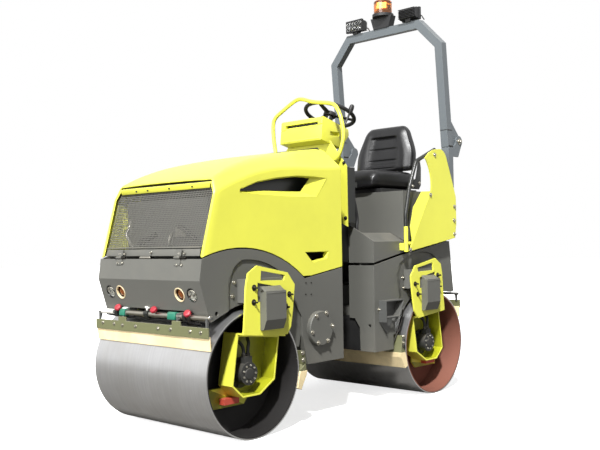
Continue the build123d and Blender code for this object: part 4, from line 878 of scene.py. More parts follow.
def on_hood_front(behind, drop=0):
    """Drawing board along the hood's leaning front: x across, heights above its foot up."""
    up = (0, HOOD_LEAN / LEAN_LENGTH, 1 / LEAN_LENGTH)
    out = (0, -1 / LEAN_LENGTH, HOOD_LEAN / LEAN_LENGTH)
    board = frame_of((1, 0, 0), up, out, (0, HOOD_FOOT[0] + behind, HOOD_FOOT[1]))
    return board @ Matrix.Translation((0, -drop * MM, 0))


def up_front(z):
    """Distance along the leaning front of a height on the machine."""
    return (z - HOOD_FOOT[1]) * LEAN_LENGTH


def front_outline(corners):
    return [(x, up_front(z)) for x, z in corners]


def front_band(outer, inner):
    """Band round the grille from its outer and inner corners on the left side, open at the foot."""
    right = [(-x, z) for x, z in reversed(outer)] + [(-x, z) for x, z in inner]
    return front_outline(outer + right + inner[::-1])


# A surround of lime steel, a folded brow over the mesh and a dark seal along the skin.
surround = front_band([(374, 826), (374, 1104), (344, 1157)], [(362, 826), (364, 1104), (335, 1149)])
fit(plate("grille_surround", surround, 4, on_hood_front(7), 1.2), HOOD, LIME)
BROW_Z = 1131
brow_board = frame_of((1, 0, 0), (0, -0.34, 0.94), (0, -0.94, -0.34), (0, front_at(BROW_Z) + 12, BROW_Z))
fit(plate("grille_brow", level_rectangle(331, 0, 23, 337), 3, brow_board, 1.0), HOOD, LIME)
seal = front_band([(376, 824), (376, 1109), (347, 1161)], [(368, 824), (368, 1101), (340, 1149)])
fit(plate("grille_seal", seal, 5, on_hood_front(12), 0.8), HOOD, RUBBER)

# Perforated grille: one six-sided ring, repeated in rows, cut to the opening and thickened.
HOLE_PITCH = 11.0
RING_WALL = 1.75


def perforated_sheet(name, half_low, half_high, low, high):
    deselect()
    bpy.ops.mesh.primitive_circle_add(vertices=6, radius=HOLE_PITCH / math.sqrt(3) * MM, fill_type="NGON")
    ob = bpy.context.object
    ob.name = name
    edit_faces(ob)
    bpy.ops.mesh.inset(thickness=RING_WALL * MM)
    bpy.ops.mesh.delete(type="FACE")
    leave_edit()
    across = round(2 * half_low / HOLE_PITCH) + 1
    pitch_up = HOLE_PITCH * math.sqrt(3) / 2
    up = round((high - low) / pitch_up) + 1
    ob.data.transform(Matrix.Rotation(math.radians(30), 4, "Z"))
    for count, step in ((across, (HOLE_PITCH * MM, 0, 0)), (2, (HOLE_PITCH / 2 * MM, pitch_up * MM, 0)),
                        (up // 2 + 1, (0, 2 * pitch_up * MM, 0))):
        repeat = ob.modifiers.new("repeat", "ARRAY")
        repeat.count = count
        repeat.use_relative_offset = False
        repeat.use_constant_offset = True
        repeat.constant_offset_displace = step
        repeat.use_merge_vertices = True
        repeat.merge_threshold = 0.0002
        finish_modifiers(ob)
    ob.data.transform(Matrix.Translation((-across * HOLE_PITCH / 2 * MM, low * MM, 0)))
    tilt = (half_low - half_high) / (high - low)
    edit_faces(ob)
    for x, y, normal in ((half_low, low, (1, tilt)), (-half_low, low, (-1, tilt)), (0, high, (0, 1)),
                         (0, low, (0, -1))):
        bpy.ops.mesh.select_all(action="SELECT")
        bpy.ops.mesh.bisect(plane_co=(x * MM, y * MM, 0), plane_no=(*normal, 0), clear_outer=True)
    leave_edit()
    thicken(ob, 1.2, 0.0)
    return ob


grille = perforated_sheet("grille_mesh", 368, 366, up_front(846), up_front(1144))
grille.data.transform(on_hood_front(20))
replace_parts(fit(grille, HOOD, GRILLE_GREY), "grille")

sill = front_outline(level_rectangle(352, 828, 860, 350))
fit(plate("grille_sill", sill, 3, on_hood_front(9), 1.0), HOOD, GREY)
fold_board = frame_of((1, 0, 0), (0, 1, 0.25), (0, -0.25, 1), (0, -984, 864))
fit(plate("grille_fold", level_rectangle(350, 0, 22, 348), 2.5, fold_board, 0.8), HOOD, GREY)

# Screws of the surround and the hinges, and the hinges' knuckles on the hood's axis.
HINGE_Y, HINGE_Z = -1004, 822
TOP_SCREWS_Z, TOP_SCREWS_BACK = 1141, 2.5
top_screws = [(x, front_at(TOP_SCREWS_Z) + TOP_SCREWS_BACK, TOP_SCREWS_Z) for x in (-205, -115, 49, 215)]
fastened("surround_screws", cap_screw(4.2), top_screws, LEAN_OUT, HOOD, OXIDE)
upper_screws = [(x, front_at(z) - 1, z)
                for x, z in ((-225, 839), (-187, 839), (223, 840), (257, 840), (16, 844))]
fastened("hinge_screws_upper", cap_screw(5.5), upper_screws, LEAN_OUT, HOOD, ZINC)
lower_screws = [(x, HINGE_Y - 0.5, z) for x, z in ((-227, 797), (-190, 797), (218, 790), (252, 790))]
fastened("hinge_screws_lower", cap_screw(5.5), lower_screws, (0, -1, 0.15), FRONT, ZINC)
for x, label in ((-251, "right"), (199, "left")):
    knuckle = round_bar("hinge_knuckle_" + label, 5.2, 80, 20)
    rounded(knuckle, 1, 1)
    knuckle.data.transform(on_side(x, HINGE_Y, HINGE_Z))
    fit(knuckle, FRONT, OXIDE)

# Behind the grille: cooler core, a louvred cheek beside it, lines, a bracket and the hood's latch.
core = [(-300, 858), (300, 858), (300, 1090), (-300, 1090)]
fit(plate("cooler_core", core, 26, on_front(-868), 3), FRONT, DARK_GREY)
for k in range(9):
    slat = plate("cheek_slat_%d" % k, [(-3, 858), (3, 858), (3, 1062 - 24 * k), (-3, 1066 - 24 * k)], 9,
                 on_front(-888 + 2 * k, -336 + 13 * k), 0.8)
    fit(slat, FRONT, LIME)
COOLER_LINES = (
    ([(-262, -905, 1000), (-240, -925, 965), (-256, -938, 932), (-232, -934, 905), (-196, -940, 868)], 9, ZINC),
    ([(-180, -905, 880), (-150, -930, 905), (-110, -925, 900), (-60, -905, 930)], 13, RUBBER),
    ([(60, -900, 870), (64, -925, 880), (66, -925, 915), (60, -905, 930)], 8, ZINC),
    ([(90, -900, 960), (150, -925, 962), (190, -925, 940), (230, -905, 900)], 11, RUBBER))
for k, (points, radius, material) in enumerate(COOLER_LINES):
    fit(pipe("cooler_line_%d" % k, points, radius, 16), FRONT, material)
bracket = [(96, 916), (176, 916), (176, 958), (150, 968), (104, 962)]
fit(plate("cooler_bracket", bracket, 4, on_front(-915), 1.5), FRONT, ZINC)
latch = [(-67, 0), (16, 0), (12, 9), (-63, 9)]
fit(plate("hood_latch", latch, 5, on_hood_front(2, 4), 1.5), HOOD, ZINC)

# ---- lamps in the apron -------------------------------------------------------------------
APRON_EDGE, APRON_TOE = (-1015, 721), (-957, 538)
FACET = Vector((0, APRON_TOE[0] - APRON_EDGE[0], APRON_TOE[1] - APRON_EDGE[1])).normalized()
FACET_OUT = Vector((0, FACET.z, -FACET.y))
LAMP_HEIGHT, HEADLAMP_X, INDICATOR_X, LAMP_HOLE = 657, 305, 221, 33
HEADLAMP_OFF = 3.5
BOWL_TILT = Matrix.Rotation(math.radians(14), 4, "X")


def on_apron(x, z):
    """Place on the apron's lower facet, +Z of the part outward."""
    slope = (APRON_TOE[0] - APRON_EDGE[0]) / (APRON_EDGE[1] - APRON_TOE[1])
    return frame_of((1, 0, 0), -FACET, FACET_OUT, (x, APRON_EDGE[0] + (APRON_EDGE[1] - z) * slope, z))


CUP = [(LAMP_HOLE - 0.8, 0.5), (LAMP_HOLE - 3, 0.5), (LAMP_HOLE - 5, -16), (LAMP_HOLE - 12, -25), (0.01, -25),
       (0.01, -27), (LAMP_HOLE - 10, -27), (LAMP_HOLE - 1.5, -17)]
BOWL = [(27, -3), (23, -11), (13, -17), (4, -18.5), (0.01, -18.5), (0.01, -20), (14, -19), (25, -12), (28.5, -3)]
DOME = [(0.01, 5.0), (10, 4.0), (20, 1.2), (27, -3), (27, -4.5), (19, -0.6), (10, 2.2), (0.01, 3.2)]
BULB = [(0.01, -8), (3, -9), (4.4, -12), (3.4, -16), (5, -20), (0.01, -20)]
BEZEL = [(34, 1.2), (32.5, 2.8), (29.5, 2.6), (27.5, 0.5), (27, -6), (29, -7), (32, -4)]
AMBER_DOME = [(0.01, -3), (10, -4), (19, -7), (24, -12), (24, -14), (18, -9.5), (10, -6.2), (0.01, -5)]
RINGS = [(24, -14), (17, -16), (15, -14), (9, -17), (7, -15), (0.01, -17), (0.01, -20), (25, -20)]
# Kind of lamp, its place, and its layers with how far each stands off and whether it leans.
LAMPS = (("headlamp", HEADLAMP_X, ((CUP, BLACK, 0, False), (BOWL, PEARL, HEADLAMP_OFF, True),
                                   (BULB, ZINC, HEADLAMP_OFF, True), (DOME, LENS, HEADLAMP_OFF, False))),
         ("indicator", INDICATOR_X, ((CUP, BLACK, 0, False), (BEZEL, BEIGE, 0, False),
                                     (RINGS, WARM, 0, False), (AMBER_DOME, BROWN_AMBER, 0, False))))
for label, x, layers in LAMPS:
    for i, (profile, material, off, leans) in enumerate(layers):
        pattern = turned("%s_%d" % (label, i), profile, 40, closed=True)
        for side, side_label in SIDES:
            place = on_apron(side * x + off, LAMP_HEIGHT - off)
            piece = copy_of(pattern, place @ BOWL_TILT if leans else place)
            piece.name = "%s_part%d_%s" % (label, i, side_label)
            fit(piece, FRONT, material)
            if profile in (DOME, AMBER_DOME) and side > 0:
                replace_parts(piece, label + "s")
        bpy.data.objects.remove(pattern)

# ---- scraper rod at the front, with its sleeves, clamps and knobs ------------------------
ROD_Y, ROD_Z, ROD_RADIUS, SLEEVE_RADIUS = -981, 560, 7.5, 11.5
for low, high, material in ((-418, -300, WHITE), (-189, -45, ZINC), (-14, 128, ZINC), (188, 236, ZINC),
                            (262, 414, ZINC)):
    length, swell = high - low, SLEEVE_RADIUS + 0.8
    wall = [(SLEEVE_RADIUS, 0), (swell, 1), (swell, length - 1), (SLEEVE_RADIUS, length),
            (ROD_RADIUS, length), (ROD_RADIUS, 0)]
    tube = turned("rod_sleeve_%d" % (low + 500), wall, 28, closed=True)
    tube.data.transform(on_side(low, ROD_Y, ROD_Z))
    fit(tube, FRONT, material)

# Split blocks round the rod.
BLOCK = [(-15, -17), (15, -17), (17, -4), (17, 10), (10, 18), (-10, 18), (-17, 10), (-17, -4)]
CLAMPS = ((-262, 24, BLACK, 12), (-214, 40, GREEN, -10), (-30, 28, BLACK, 20), (160, 54, GREEN, -6),
          (249, 22, BLACK, 14), (280, 18, OXIDE, 0))
for i, (x, width, material, tilt) in enumerate(CLAMPS):
    block = plate("rod_clamp_%d" % i, BLOCK, width, Matrix(), 1.6)
    slot = box("slot", (-1.6, -24, -10), (1.6, -4, width + 10))
    slot.data.transform(Matrix.Translation(-SHIFT))
    cut(block, slot)
    lean = Matrix.Rotation(math.radians(tilt), 4, "Z")
    block.data.transform(on_side(x - width / 2, ROD_Y, ROD_Z) @ lean)
    fit(block, FRONT, material)

KNOB = [(0.01, 0), (9, 0), (9, 4), (14, 6), (17.5, 9), (17.5, 17), (14.5, 21), (8, 23), (0.01, 23.6)]
for i, (x, z, lean) in enumerate(((-246, 580, 0.25), (34, 580, 0.1), (272, 574, 0.3))):
    grip = turned("rod_knob_%d" % i, KNOB, 24)
    grip.data.transform(facing(at(x, ROD_Y - 6, z - 4), (lean, -0.75, 0.55)))
    fit(grip, FRONT, KNOB_RED)
TEE_X = -34
post = plate("post", [(-4, 0), (4, 0), (5, 22), (-5, 22)], 8, on_front(ROD_Y + 4, TEE_X, ROD_Z + 10), 1.2)
crossbar = plate("bar", [(-15, 0), (13, -4), (15, 4), (-13, 8)], 9, on_front(ROD_Y + 5, TEE_X, ROD_Z + 28), 1.6)
fit(join("rod_tee", [post, crossbar]), FRONT, WHITE)
low_line = [(-380, -965, 545), (-250, -968, 536), (-120, -966, 540), (20, -968, 534), (180, -966, 540),
            (330, -968, 532)]
fit(pipe("rod_line_low", low_line, 5), FRONT, RUBBER)
for i, x in enumerate((-270, -150, -40, 90, 210, 300)):
    drop = pipe("rod_line_%d" % i, [(x, -968, 537), (x + 6, -972, 552), (x + 2, -976, 566), (x, -981, 574)], 4)
    fit(drop, FRONT, RUBBER if i % 2 else OXIDE)

# Heads of the bolts that hold the scraper's blade to its carrier, front and rear.
CARRIER_FRONT = ((-267, 505), (-199, 502), (-95, 502), (75, 502), (164, 502), (300, 501), (372, 500),
                 (-360, 506))
CARRIER_REAR = (-360, -267, -160, -55, 55, 160, 267, 360)
fastened("carrier_bolts_front", hexagon_bolt(9), [(x, -1003, z) for x, z in CARRIER_FRONT], (0, -1, 0),
         FRONT, ZINC)
fastened("carrier_bolts_rear", hexagon_bolt(13), [(x, 1003, 503) for x in CARRIER_REAR], (0, 1, 0),
         REAR, ZINC)

# ---- bolts of the frame -------------------------------------------------------------------
COVER_BOLTS = ((-289, 519), (-216, 529), (-171, 462), (-206, 392), (-279, 387), (-322, 442))
FRAME_SCREWS = ((-339, 684), (-300, 683), (-341, 628), (-301, 626))
STUDS = ((741, 681), (744, 616), (513, 640), (537, 582))
LINER_BOLTS = ((485, 676), (491, 617), (594, 672), (605, 612), (804, 706), (816, 645))
ARCH_FACE, FRAME_SIDE = 370, 380
for side, label in SIDES:
    fastened("cover_bolts_" + label, hexagon_bolt(13), [(side * 404, y, z) for y, z in COVER_BOLTS],
             (side, 0, 0), FRONT, ZINC)
fastened("frame_screws", cap_screw(3.4), [(FRAME_SIDE, y, z) for y, z in FRAME_SCREWS], (1, 0, 0),
         FRONT, OXIDE)
for way, end, body in ENDS:
    for side, label in SIDES:
        fastened("yoke_studs_%s_%s" % (end, label), stud_nut(15, 15),
                 [(side * 433, way * y, z) for y, z in STUDS], (side, 0, 0), body, OXIDE)
        fastened("isolator_bolts_%s_%s" % (end, label), hexagon_bolt(12),
                 [(side * 448, way * y, 664) for y in (700, 640, 600)], (0, 0, 1), body, OXIDE)
for way, end, body in ENDS:
    for side, label in SIDES:
        fastened("liner_bolts_%s_%s" % (end, label), hexagon_bolt(12),
                 [(side * ARCH_FACE, way * y, z) for y, z in LINER_BOLTS], (side, 0, 0), body, ZINC)

# ---- plates in the arches above the drums, with a slanted lip ------------------------------
DRUM_ROOM = 316
ARCH_FOOT = [(-123, 584), (-123, 668), (-119, 705), (-109, 738), (-94, 766), (-72, 789), (-40, 806)]
ARCH_CROWN = {"front": (261, 708), "rear": (285, 754)}
ARCH_REST = {"front": [(301, 605), (356, 520), (356, 433), (342, 376)],
             "rear": [(315, 691), (291, 574), (330, 500), (330, 400), (322, 376)]}
LIP_RUN = {"front": slice(0, 7), "rear": slice(12, 16)}


def arch_edge(end):
    """Edge of an arch from its outer foot over its top: (from the axle towards midway, height)."""
    crown = ARCH_CROWN[end]
    ramp = [(-40 + (crown[0] + 40) * t, 806 + (crown[1] - 806) * t + 132 * t * (1 - t))
            for t in (k / 6 for k in (1, 2, 3, 4, 5))]
    return ARCH_FOOT + ramp + [crown] + ARCH_REST[end]


for way, end, body in ENDS:
    edge = arch_edge(end)
    around = [(y, AXLE_Z + math.sqrt(DRUM_ROOM ** 2 - y * y))
              for y in (302, 270, 220, 160, 100, 40, -20, -70, -110)]
    spots = [(way * (AXLE_Y - y), z) for y, z in edge + around]
    run = edge[LIP_RUN[end]]
    for side, label in SIDES:
        lining = plate("arch_plate_%s_%s" % (end, label), spots, 5, on_side(ARCH_FACE - 5))
        if side < 0:
            flip(lining, "X")
        fit(lining, body, GREY)
        rows = [[at(side * 379.6, way * (AXLE_Y - y), z) for y, z in run],
                [at(side * ARCH_FACE, way * (AXLE_Y - y * 0.88 - 2), 690 + (z - 690) * 0.9) for y, z in run]]
        lip = lay_sheet("arch_lip_%s_%s" % (end, label), rows)
        thicken(lip, 1.5, 0.0)
        recalculate(lip)
        fit(smooth(lip, 40), body, GREY)

# Bolts of the wings beside the seat.
WING_BOLTS = ((729, 1381), (677, 1146), (469, 832), (926, 918), (925, 1001), (932, 1083))
for side, suffix in ((1, ""), (-1, "_right")):
    fastened("wing_bolts" + suffix, hexagon_bolt(13), [(side * 436, y, z) for y, z in WING_BOLTS],
             (side, 0, 0), REAR, ZINC)

# ---- caps of the rubber mounts, hub motors with their lines, scraper bolts ----------------
CAP = [(434, 662), (474, 648), (475, 658), (440, 684), (434, 686)]
MOTOR_COVER = [(0.01, 4), (18, 4), (24, 3), (27, -1), (0.01, -1)]
MOTOR_X, FLANGE_X, PORT_X, PORT_Z = 378, 320, 357, 366


def ring_of(side, hub_y, x, radius, start=0.0):
    """Nine places round a drum's axle."""
    turn = [math.tau * k / 9 + start for k in range(9)]
    return [(side * x, hub_y + radius * math.cos(a), AXLE_Z + radius * math.sin(a)) for a in turn]


for way, end, body in ENDS:
    for side, label in SIDES:
        corner = "%s_%s" % (end, label)
        cap = plate("mount_cap_" + corner, CAP, 128, on_front(149 - AXLE_Y), 2.0)
        if way > 0:
            flip(cap, "Y")
        if side < 0:
            flip(cap, "X")
        fit(cap, body, GREY)
        hub_y = way * AXLE_Y
        outward = (side, 0, 0)
        fastened("motor_bolts_" + corner, cap_screw(5), ring_of(side, hub_y, MOTOR_X, 38), outward,
                 body, ZINC)
        fastened("flange_bolts_" + corner, hexagon_bolt(8), ring_of(side, hub_y, FLANGE_X, 61, 0.2), outward,
                 body, OXIDE)
        dish = turned("motor_cover_" + corner, MOTOR_COVER, 32, closed=True)
        dish.data.transform(facing(at(side * MOTOR_X, hub_y, AXLE_Z), outward))
        fit(dish, body, CAST)
        for k, dy in enumerate((-14, 12)):
            points = [(PORT_X, 1, PORT_Z + 6), (PORT_X, 1, 404), (352, 2, 430), (326, 3, 446), (316, 4, 474)]
            line = pipe("motor_line_%s_%d" % (corner, k),
                        [(side * x, hub_y + dy * far, z) for x, far, z in points], 8, 16)
            fit(line, body, RUBBER)
            nut = round_bar("motor_union_%s_%d" % (corner, k), 12, 16, 6)
            rounded(nut, 1, 1)
            nut.data.transform(Matrix.Translation(at(side * PORT_X, hub_y + dy, PORT_Z)))
            fit(nut, body, OXIDE)
        blade_ends = [(side * 420, way * 413, 354), (side * 420, way * 411, 320)]
        fastened("scraper_bolts_" + corner, hexagon_bolt(12), blade_ends, outward, body, ZINC)

# ---- seat: moulded vinyl shells with sewn ribs --------------------------------------------
def eased(value, low, high):
    """0 below low, 1 above high, smooth between."""
    t = min(1, max(0, (value - low) / (high - low)))
    return t * t * (3 - 2 * t)


def swell_at(value, centre, width):
    """1 at a centre, fading to 0 over a width each way."""
    return math.exp(-((value - centre) / width) ** 2)


def padded_shell(name, rows, node_name):
    """Closed padded form from level loops: joined round, its two ends gathered in."""
    shell = lay_sheet(name, [row + row[:1] for row in rows])
    edit_faces(shell)
    bpy.ops.mesh.remove_doubles(threshold=0.0001)
    bpy.ops.mesh.select_all(action="DESELECT")
    bpy.ops.mesh.select_mode(type="EDGE")
    bpy.ops.mesh.select_non_manifold(extend=False, use_wire=False, use_multi_face=False,
                                     use_non_contiguous=False, use_verts=False)
    bpy.ops.mesh.edge_face_add()
    bpy.ops.mesh.select_all(action="SELECT")
    bpy.ops.mesh.normals_make_consistent(inside=False)
    leave_edit()
    shell.modifiers.new("soft", "SUBSURF").levels = 1
    finish_modifiers(shell)
    fit(smooth(shell, 60), REAR, VINYL)
    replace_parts(shell, node_name)


BACK_FOOT, BACK_LEAN, BACK_HEIGHT, BACK_THICK = (0, 838, 1312), math.radians(8), 290, 96
SEAT_LOW, SEAT_HIGH, SEAT_FRONT, SEAT_REAR, SEAT_HALF = 1191, 1306, 442, 858, 214
AROUND, LEVELS = 64, 66


def ring_point(turn, half, thick, power):
    """Point of a squared-off ring: share of a turn to across and depth."""
    c, s = math.cos(turn * math.tau), math.sin(turn * math.tau)
    return (half * math.copysign(abs(c) ** power, c), thick / 2 * math.copysign(abs(s) ** power, s))


def back_row(t):
    """One level of the backrest, t from its foot to its top."""
    half = 213 - 62 * eased(t, 0.30, 1.05)
    crown = max(0.0, (t - 0.80) / 0.20)
    half *= math.sqrt(max(0.0, 1 - 0.36 * crown ** 2.4))
    foot = max(0.0, (0.10 - t) / 0.10)
    half *= 1 - 0.10 * foot ** 2
    thick = (BACK_THICK - 16 * t) * math.sqrt(max(0.02, 1 - 0.93 * crown ** 3)) * (1 - 0.35 * foot ** 2)
    rise = t * BACK_HEIGHT
    row = []
    for i in range(AROUND):
        x, depth = ring_point(i / AROUND, half, thick, 0.55)
        share = abs(x) / half
        if depth < 0:
            panel = (1 - eased(share, 0.47, 0.58)) * eased(t, 0.10, 0.15) * (1 - eased(t, 0.74, 0.79))
            groove = max(swell_at(t, level, 0.017) for level in (0.08, 0.25, 0.50, 0.74))
            relief = 13 * panel + 8 * groove * (1 - eased(share, 0.44, 0.50))
            relief -= 9 * swell_at(share, 0.76, 0.16) * (1 - crown)
            piping = 3.5 * swell_at(share, 0.985, 0.03)
            depth += relief - piping
        y = depth + rise * math.sin(BACK_LEAN)
        row.append(at(BACK_FOOT[0] + x, BACK_FOOT[1] + y, BACK_FOOT[2] + rise * math.cos(BACK_LEAN)))
    return row


def seat_row(t):
    """One slice across the seat cushion, t from its front to its rear."""
    nose = max(0.0, (0.16 - t) / 0.16)
    tail = max(0.0, (t - 0.90) / 0.10)
    half = SEAT_HALF * (1 - 0.10 * nose ** 2 - 0.06 * tail ** 2)
    height = (SEAT_HIGH - SEAT_LOW) * math.sqrt(max(0.04, 1 - 0.72 * nose ** 2.6)) * (1 - 0.12 * tail ** 2)
    middle_z = SEAT_LOW + height / 2 + 3 * nose
    row = []
    for i in range(AROUND):
        x, rise = ring_point(i / AROUND, half, height, 0.5)
        share = abs(x) / half
        if rise > 0:
            hollow = (1 - eased(share, 0.50, 0.68)) * eased(t, 0.16, 0.30)
            groove = max(swell_at(t, level, 0.010) for level in (0.40, 0.62, 0.84))
            groove *= 1 - eased(share, 0.50, 0.60)
            rise -= 20 * hollow + 6 * groove - 3 * swell_at(share, 0.80, 0.14) + 6 * (1 - eased(t, 0.0, 0.3))
        seam = 1 - 0.022 * swell_at(rise, -height * 0.5 + 30, 5)
        row.append(at(x * seam, SEAT_FRONT + t * (SEAT_REAR - SEAT_FRONT), middle_z + rise))
    return row


padded_shell("seat_back_shell", [back_row(k / LEVELS) for k in range(LEVELS + 1)], "seat_backrest")
padded_shell("seat_cushion_shell", [seat_row(k / LEVELS) for k in range(LEVELS + 1)], "seat_cushion")
EAR = [(792, 1196), (880, 1196), (900, 1222), (904, 1330), (892, 1384), (876, 1392), (866, 1330), (846, 1262),
       (792, 1236)]
for side, label in SIDES:
    fit(plate("seat_ear_" + label, EAR, 5, on_flank(side, 217, 5), 1.4), REAR, BLACK)
    ear_screws = [(side * 222, y, z) for y, z in ((812, 1214), (884, 1236), (884, 1372))]
    fastened("seat_ear_screws_" + label, hexagon_bolt(10), ear_screws, (side, 0, 0), REAR, ZINC)

# ---- roll bar: hinge bolts, straps, lamps and beacon --------------------------------------
SQUARE = level_rectangle(27, -27, 27)
for side, label in SIDES:
    fastened("bar_hinge_bolt_" + label, stud_nut(19, 6), [(side * 431, 1010, 1480)], (side, 0, 0), BAR, ZINC)
    for k, (y, z, high, body) in enumerate(((906, 1539, 6, BAR), (916, 1442, 9, REAR))):
        band = plate("bar_band_%s_%d" % (label, k), SQUARE, high, Matrix.Translation(at(side * 405, y, z)), 3.0)
        fit(band, body, BLACK)

LAMP_Y, LAMP_Z = 833, 2270
CELL = [(11.5, 0.5), (9, -4), (4, -7), (0.01, -7), (0.01, -9), (12, -9)]
for x, way, label in ((-206, -1, "forward"), (206, 1, "rearward")):
    glass_y = LAMP_Y + way * 30
    cells = []
    for row in (-14, 14):
        for k in range(5):
            cell = turned("cell", CELL, 20, closed=True)
            spot = at(x + (k - 2) * 23, glass_y + way * 2.5, LAMP_Z + row)
            cell.data.transform(facing(spot, (0, way, 0)))
            cells.append(cell)
    fit(join("lamp_cells_" + label, cells), BAR, CHROME)
    face_board = frame_of((1, 0, 0), (0, 0, 1), (0, way, 0), (x, glass_y + way * 0.4, LAMP_Z))
    face = plate("lamp_face_" + label, level_rectangle(58, -28, 28), 2.2, face_board, 2.0)
    fit(recalculate(face), BAR, LENS)
    for k in range(7):
        fin_board = frame_of((1, 0, 0), (0, 0, 1), (0, -way, 0), (x, LAMP_Y - way * 28, LAMP_Z + (k - 3) * 9))
        fin = plate("lamp_fin_%s_%d" % (label, k), level_rectangle(60, -1.3, 1.3), 9, fin_board, 0.8)
        fit(recalculate(fin), BAR, PLASTIC)
    lead = [(x + 50, 856, 2262), (x + 66, 868, 2258), (x + 74, 866, 2242), (x + 88, 862, 2226)]
    fit(pipe("lamp_lead_" + label, lead, 3.5), BAR, RUBBER)

BEACON_Y = 841
beacon = turned("beacon_core", [(0.01, 2313), (38, 2313), (38, 2330), (20, 2334), (20, 2372), (0.01, 2374)], 6,
                closed=True)
beacon.data.transform(Matrix.Translation(at(0, BEACON_Y, 0)))
fit(recalculate(beacon), BAR, BLACK)
mirrors = []
for a in (0.4, 0.4 + math.pi):
    board = frame_of((math.cos(a), math.sin(a), 0), (0, 0, 1), (math.sin(a), -math.cos(a), 0),
                     (22 * math.sin(a), BEACON_Y - 22 * math.cos(a), 0))
    mirrors.append(plate("beacon_mirror", level_rectangle(26, 2332, 2380), 3, board, 1))
fit(join("beacon_mirrors", mirrors), BAR, CHROME)

# ---- console and dash ---------------------------------------------------------------------
TOP_LEAN = 0.2607
TOP_OUT = Vector((0, TOP_LEAN, 1)).normalized()


def head_top(y):
    """Height of the console's top face, which leans towards the driver."""
    return 1571 - (y - 78) * TOP_LEAN


case = plate("console_case", [(52, 1441), (65, 1564), (78, 1571), (287, 1517), (291, 1482), (218, 1404)], 312,
             on_side(-156), 3)
for name, low, high in (("slot", (-122, 40, 1527), (124, 92, 1544)),
                        ("step", (-158, 40, 1516), (-119, 66, 1519)),
                        ("step", (121, 40, 1526), (158, 69, 1529)),
                        ("pocket", (132, 128, 1470), (170, 206, 1492))):
    cut(case, box(name, low, high))
neck = plate("neck", [(133, 1283), (133, 1432), (216, 1412), (238, 1283)], 240, on_side(-120), 2)
edit_faces(neck, lambda c, n: n.z < -0.9)
bpy.ops.transform.resize(value=(0.62, 1, 1))
leave_edit()
console = join("console_case", [smooth(case), neck])
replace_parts(fit(console, REAR, LIME), "console")
# Black plate at the back of the slot: painted shade that keeps the slot dark.
back = [(-121, 1528), (123, 1528), (123, 1543), (-121, 1543)]
fit(plate("console_slot_shade", back, 4, on_front(84), 0.5), REAR, BLACK)
fold_board = frame_of((1, 0, 0), (0, 0.105, 0.994), (0, -0.994, 0.105), (0, 54, 1447))
fit(plate("console_fold", level_rectangle(138, 0, 8), 5, fold_board, 1.5), REAR, LIME)
top_board = frame_of((1, 0, 0), (0, TOP_OUT.z, -TOP_OUT.y), TOP_OUT, (0, 198, head_top(198)))
fit(plate("console_panel", level_rectangle(118, 0, 78, 110), 3, top_board, 1), REAR, BLACK)
dash_bolts = [(x, 125, z) for x, z in ((252, 1310), (-252, 1310), (258, 1010), (-258, 1010))]
fastened("dash_bolts", hexagon_bolt(11), dash_bolts, (0, -1, 0), REAR, OXIDE)
SWITCH = [(0.01, 0), (9, 0), (9, 4), (5, 6), (4, 20), (5.5, 24), (3, 27), (0.01, 27.5)]
for k, (x, y) in enumerate(((-90, 240), (-60, 252), (84, 238), (60, 252), (96, 262))):
    stalk = turned("console_switch_%d" % k, SWITCH, 18, closed=True)
    stalk.data.transform(facing(at(x, y, head_top(y) + 1), TOP_OUT))
    fit(stalk, REAR, PLASTIC)

# Boot round the foot of the steering column, and the wheel.
WHEEL_CENTRE, COLUMN_LEAN, WHEEL_RADIUS, RIM_RADIUS = (0, 310, 1622), math.radians(21.5), 144, 11.5
ON_COLUMN = Matrix.Translation(at(*WHEEL_CENTRE)) @ Matrix.Rotation(-COLUMN_LEAN, 4, "X")
BOOT = [(26, -64), (30, -66), (33, -73), (30, -78), (37, -86), (33, -91), (41, -100), (42, -116), (26, -116)]
boot = turned("column_boot", BOOT, 32, closed=True)
boot.data.transform(ON_COLUMN)
fit(boot, REAR, RUBBER)
circle = [math.tau * k / 14 for k in range(14)]
rim = turned("rim", [(WHEEL_RADIUS + RIM_RADIUS * math.cos(a), RIM_RADIUS * math.sin(a)) for a in circle], 72,
             closed=True)
hub = turned("hub", [(0.01, -13), (36, -13), (38, -6), (36, 9), (26, 14), (0.01, 16)], 36, closed=True)
spokes = []
for turn in (-47, 73, 193):
    centred = Matrix.Translation((0, 0, -4.5 * MM))
    spoke = plate("spoke", [(24, -16), (138, -11), (138, 11), (24, 16)], 9, centred, 2.5)
    spoke.data.transform(Matrix.Rotation(math.radians(turn + 90), 4, "Z"))
    spokes.append(spoke)
wheel = join("steering_wheel_rim", [rim, hub] + spokes)
wheel.data.transform(ON_COLUMN)
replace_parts(fit(wheel, "wheel_body", RUBBER), "steering_wheel")

# Guard tube round the console.
GUARD = [(206, 127, 1322), (206, 104, 1322), (238, 106, 1356), (262, 111, 1430), (264, 112, 1480),
         (246, 114, 1562), (204, 124, 1628), (152, 134, 1652), (20, 139, 1671), (-62, 140, 1702),
         (-112, 138, 1700), (-200, 122, 1645), (-260, 113, 1608), (-270, 112, 1555), (-264, 112, 1480),
         (-252, 111, 1420), (-236, 106, 1356), (-206, 104, 1322), (-206, 127, 1322)]
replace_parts(fit(pipe("console_guard", GUARD, 11, 20, 12), REAR, LIME), "guard_loop")

# ---- yokes again, with the full shape of the slot in their outer plates -------------------
def taken_from(node_name):
    """Copy of a solid's mesh from the frame, merged and with its flat faces whole again."""
    ob = bpy.data.objects.new(node_name + "_arm", frame["nodes"][node_name].data.copy())
    bpy.context.scene.collection.objects.link(ob)
    ob.data.transform(frame["nodes"][node_name].matrix_world)
    edit_faces(ob)
    bpy.ops.mesh.remove_doubles(threshold=0.00005)
    bpy.ops.mesh.dissolve_limited(angle_limit=math.radians(1))
    leave_edit()
    return ob


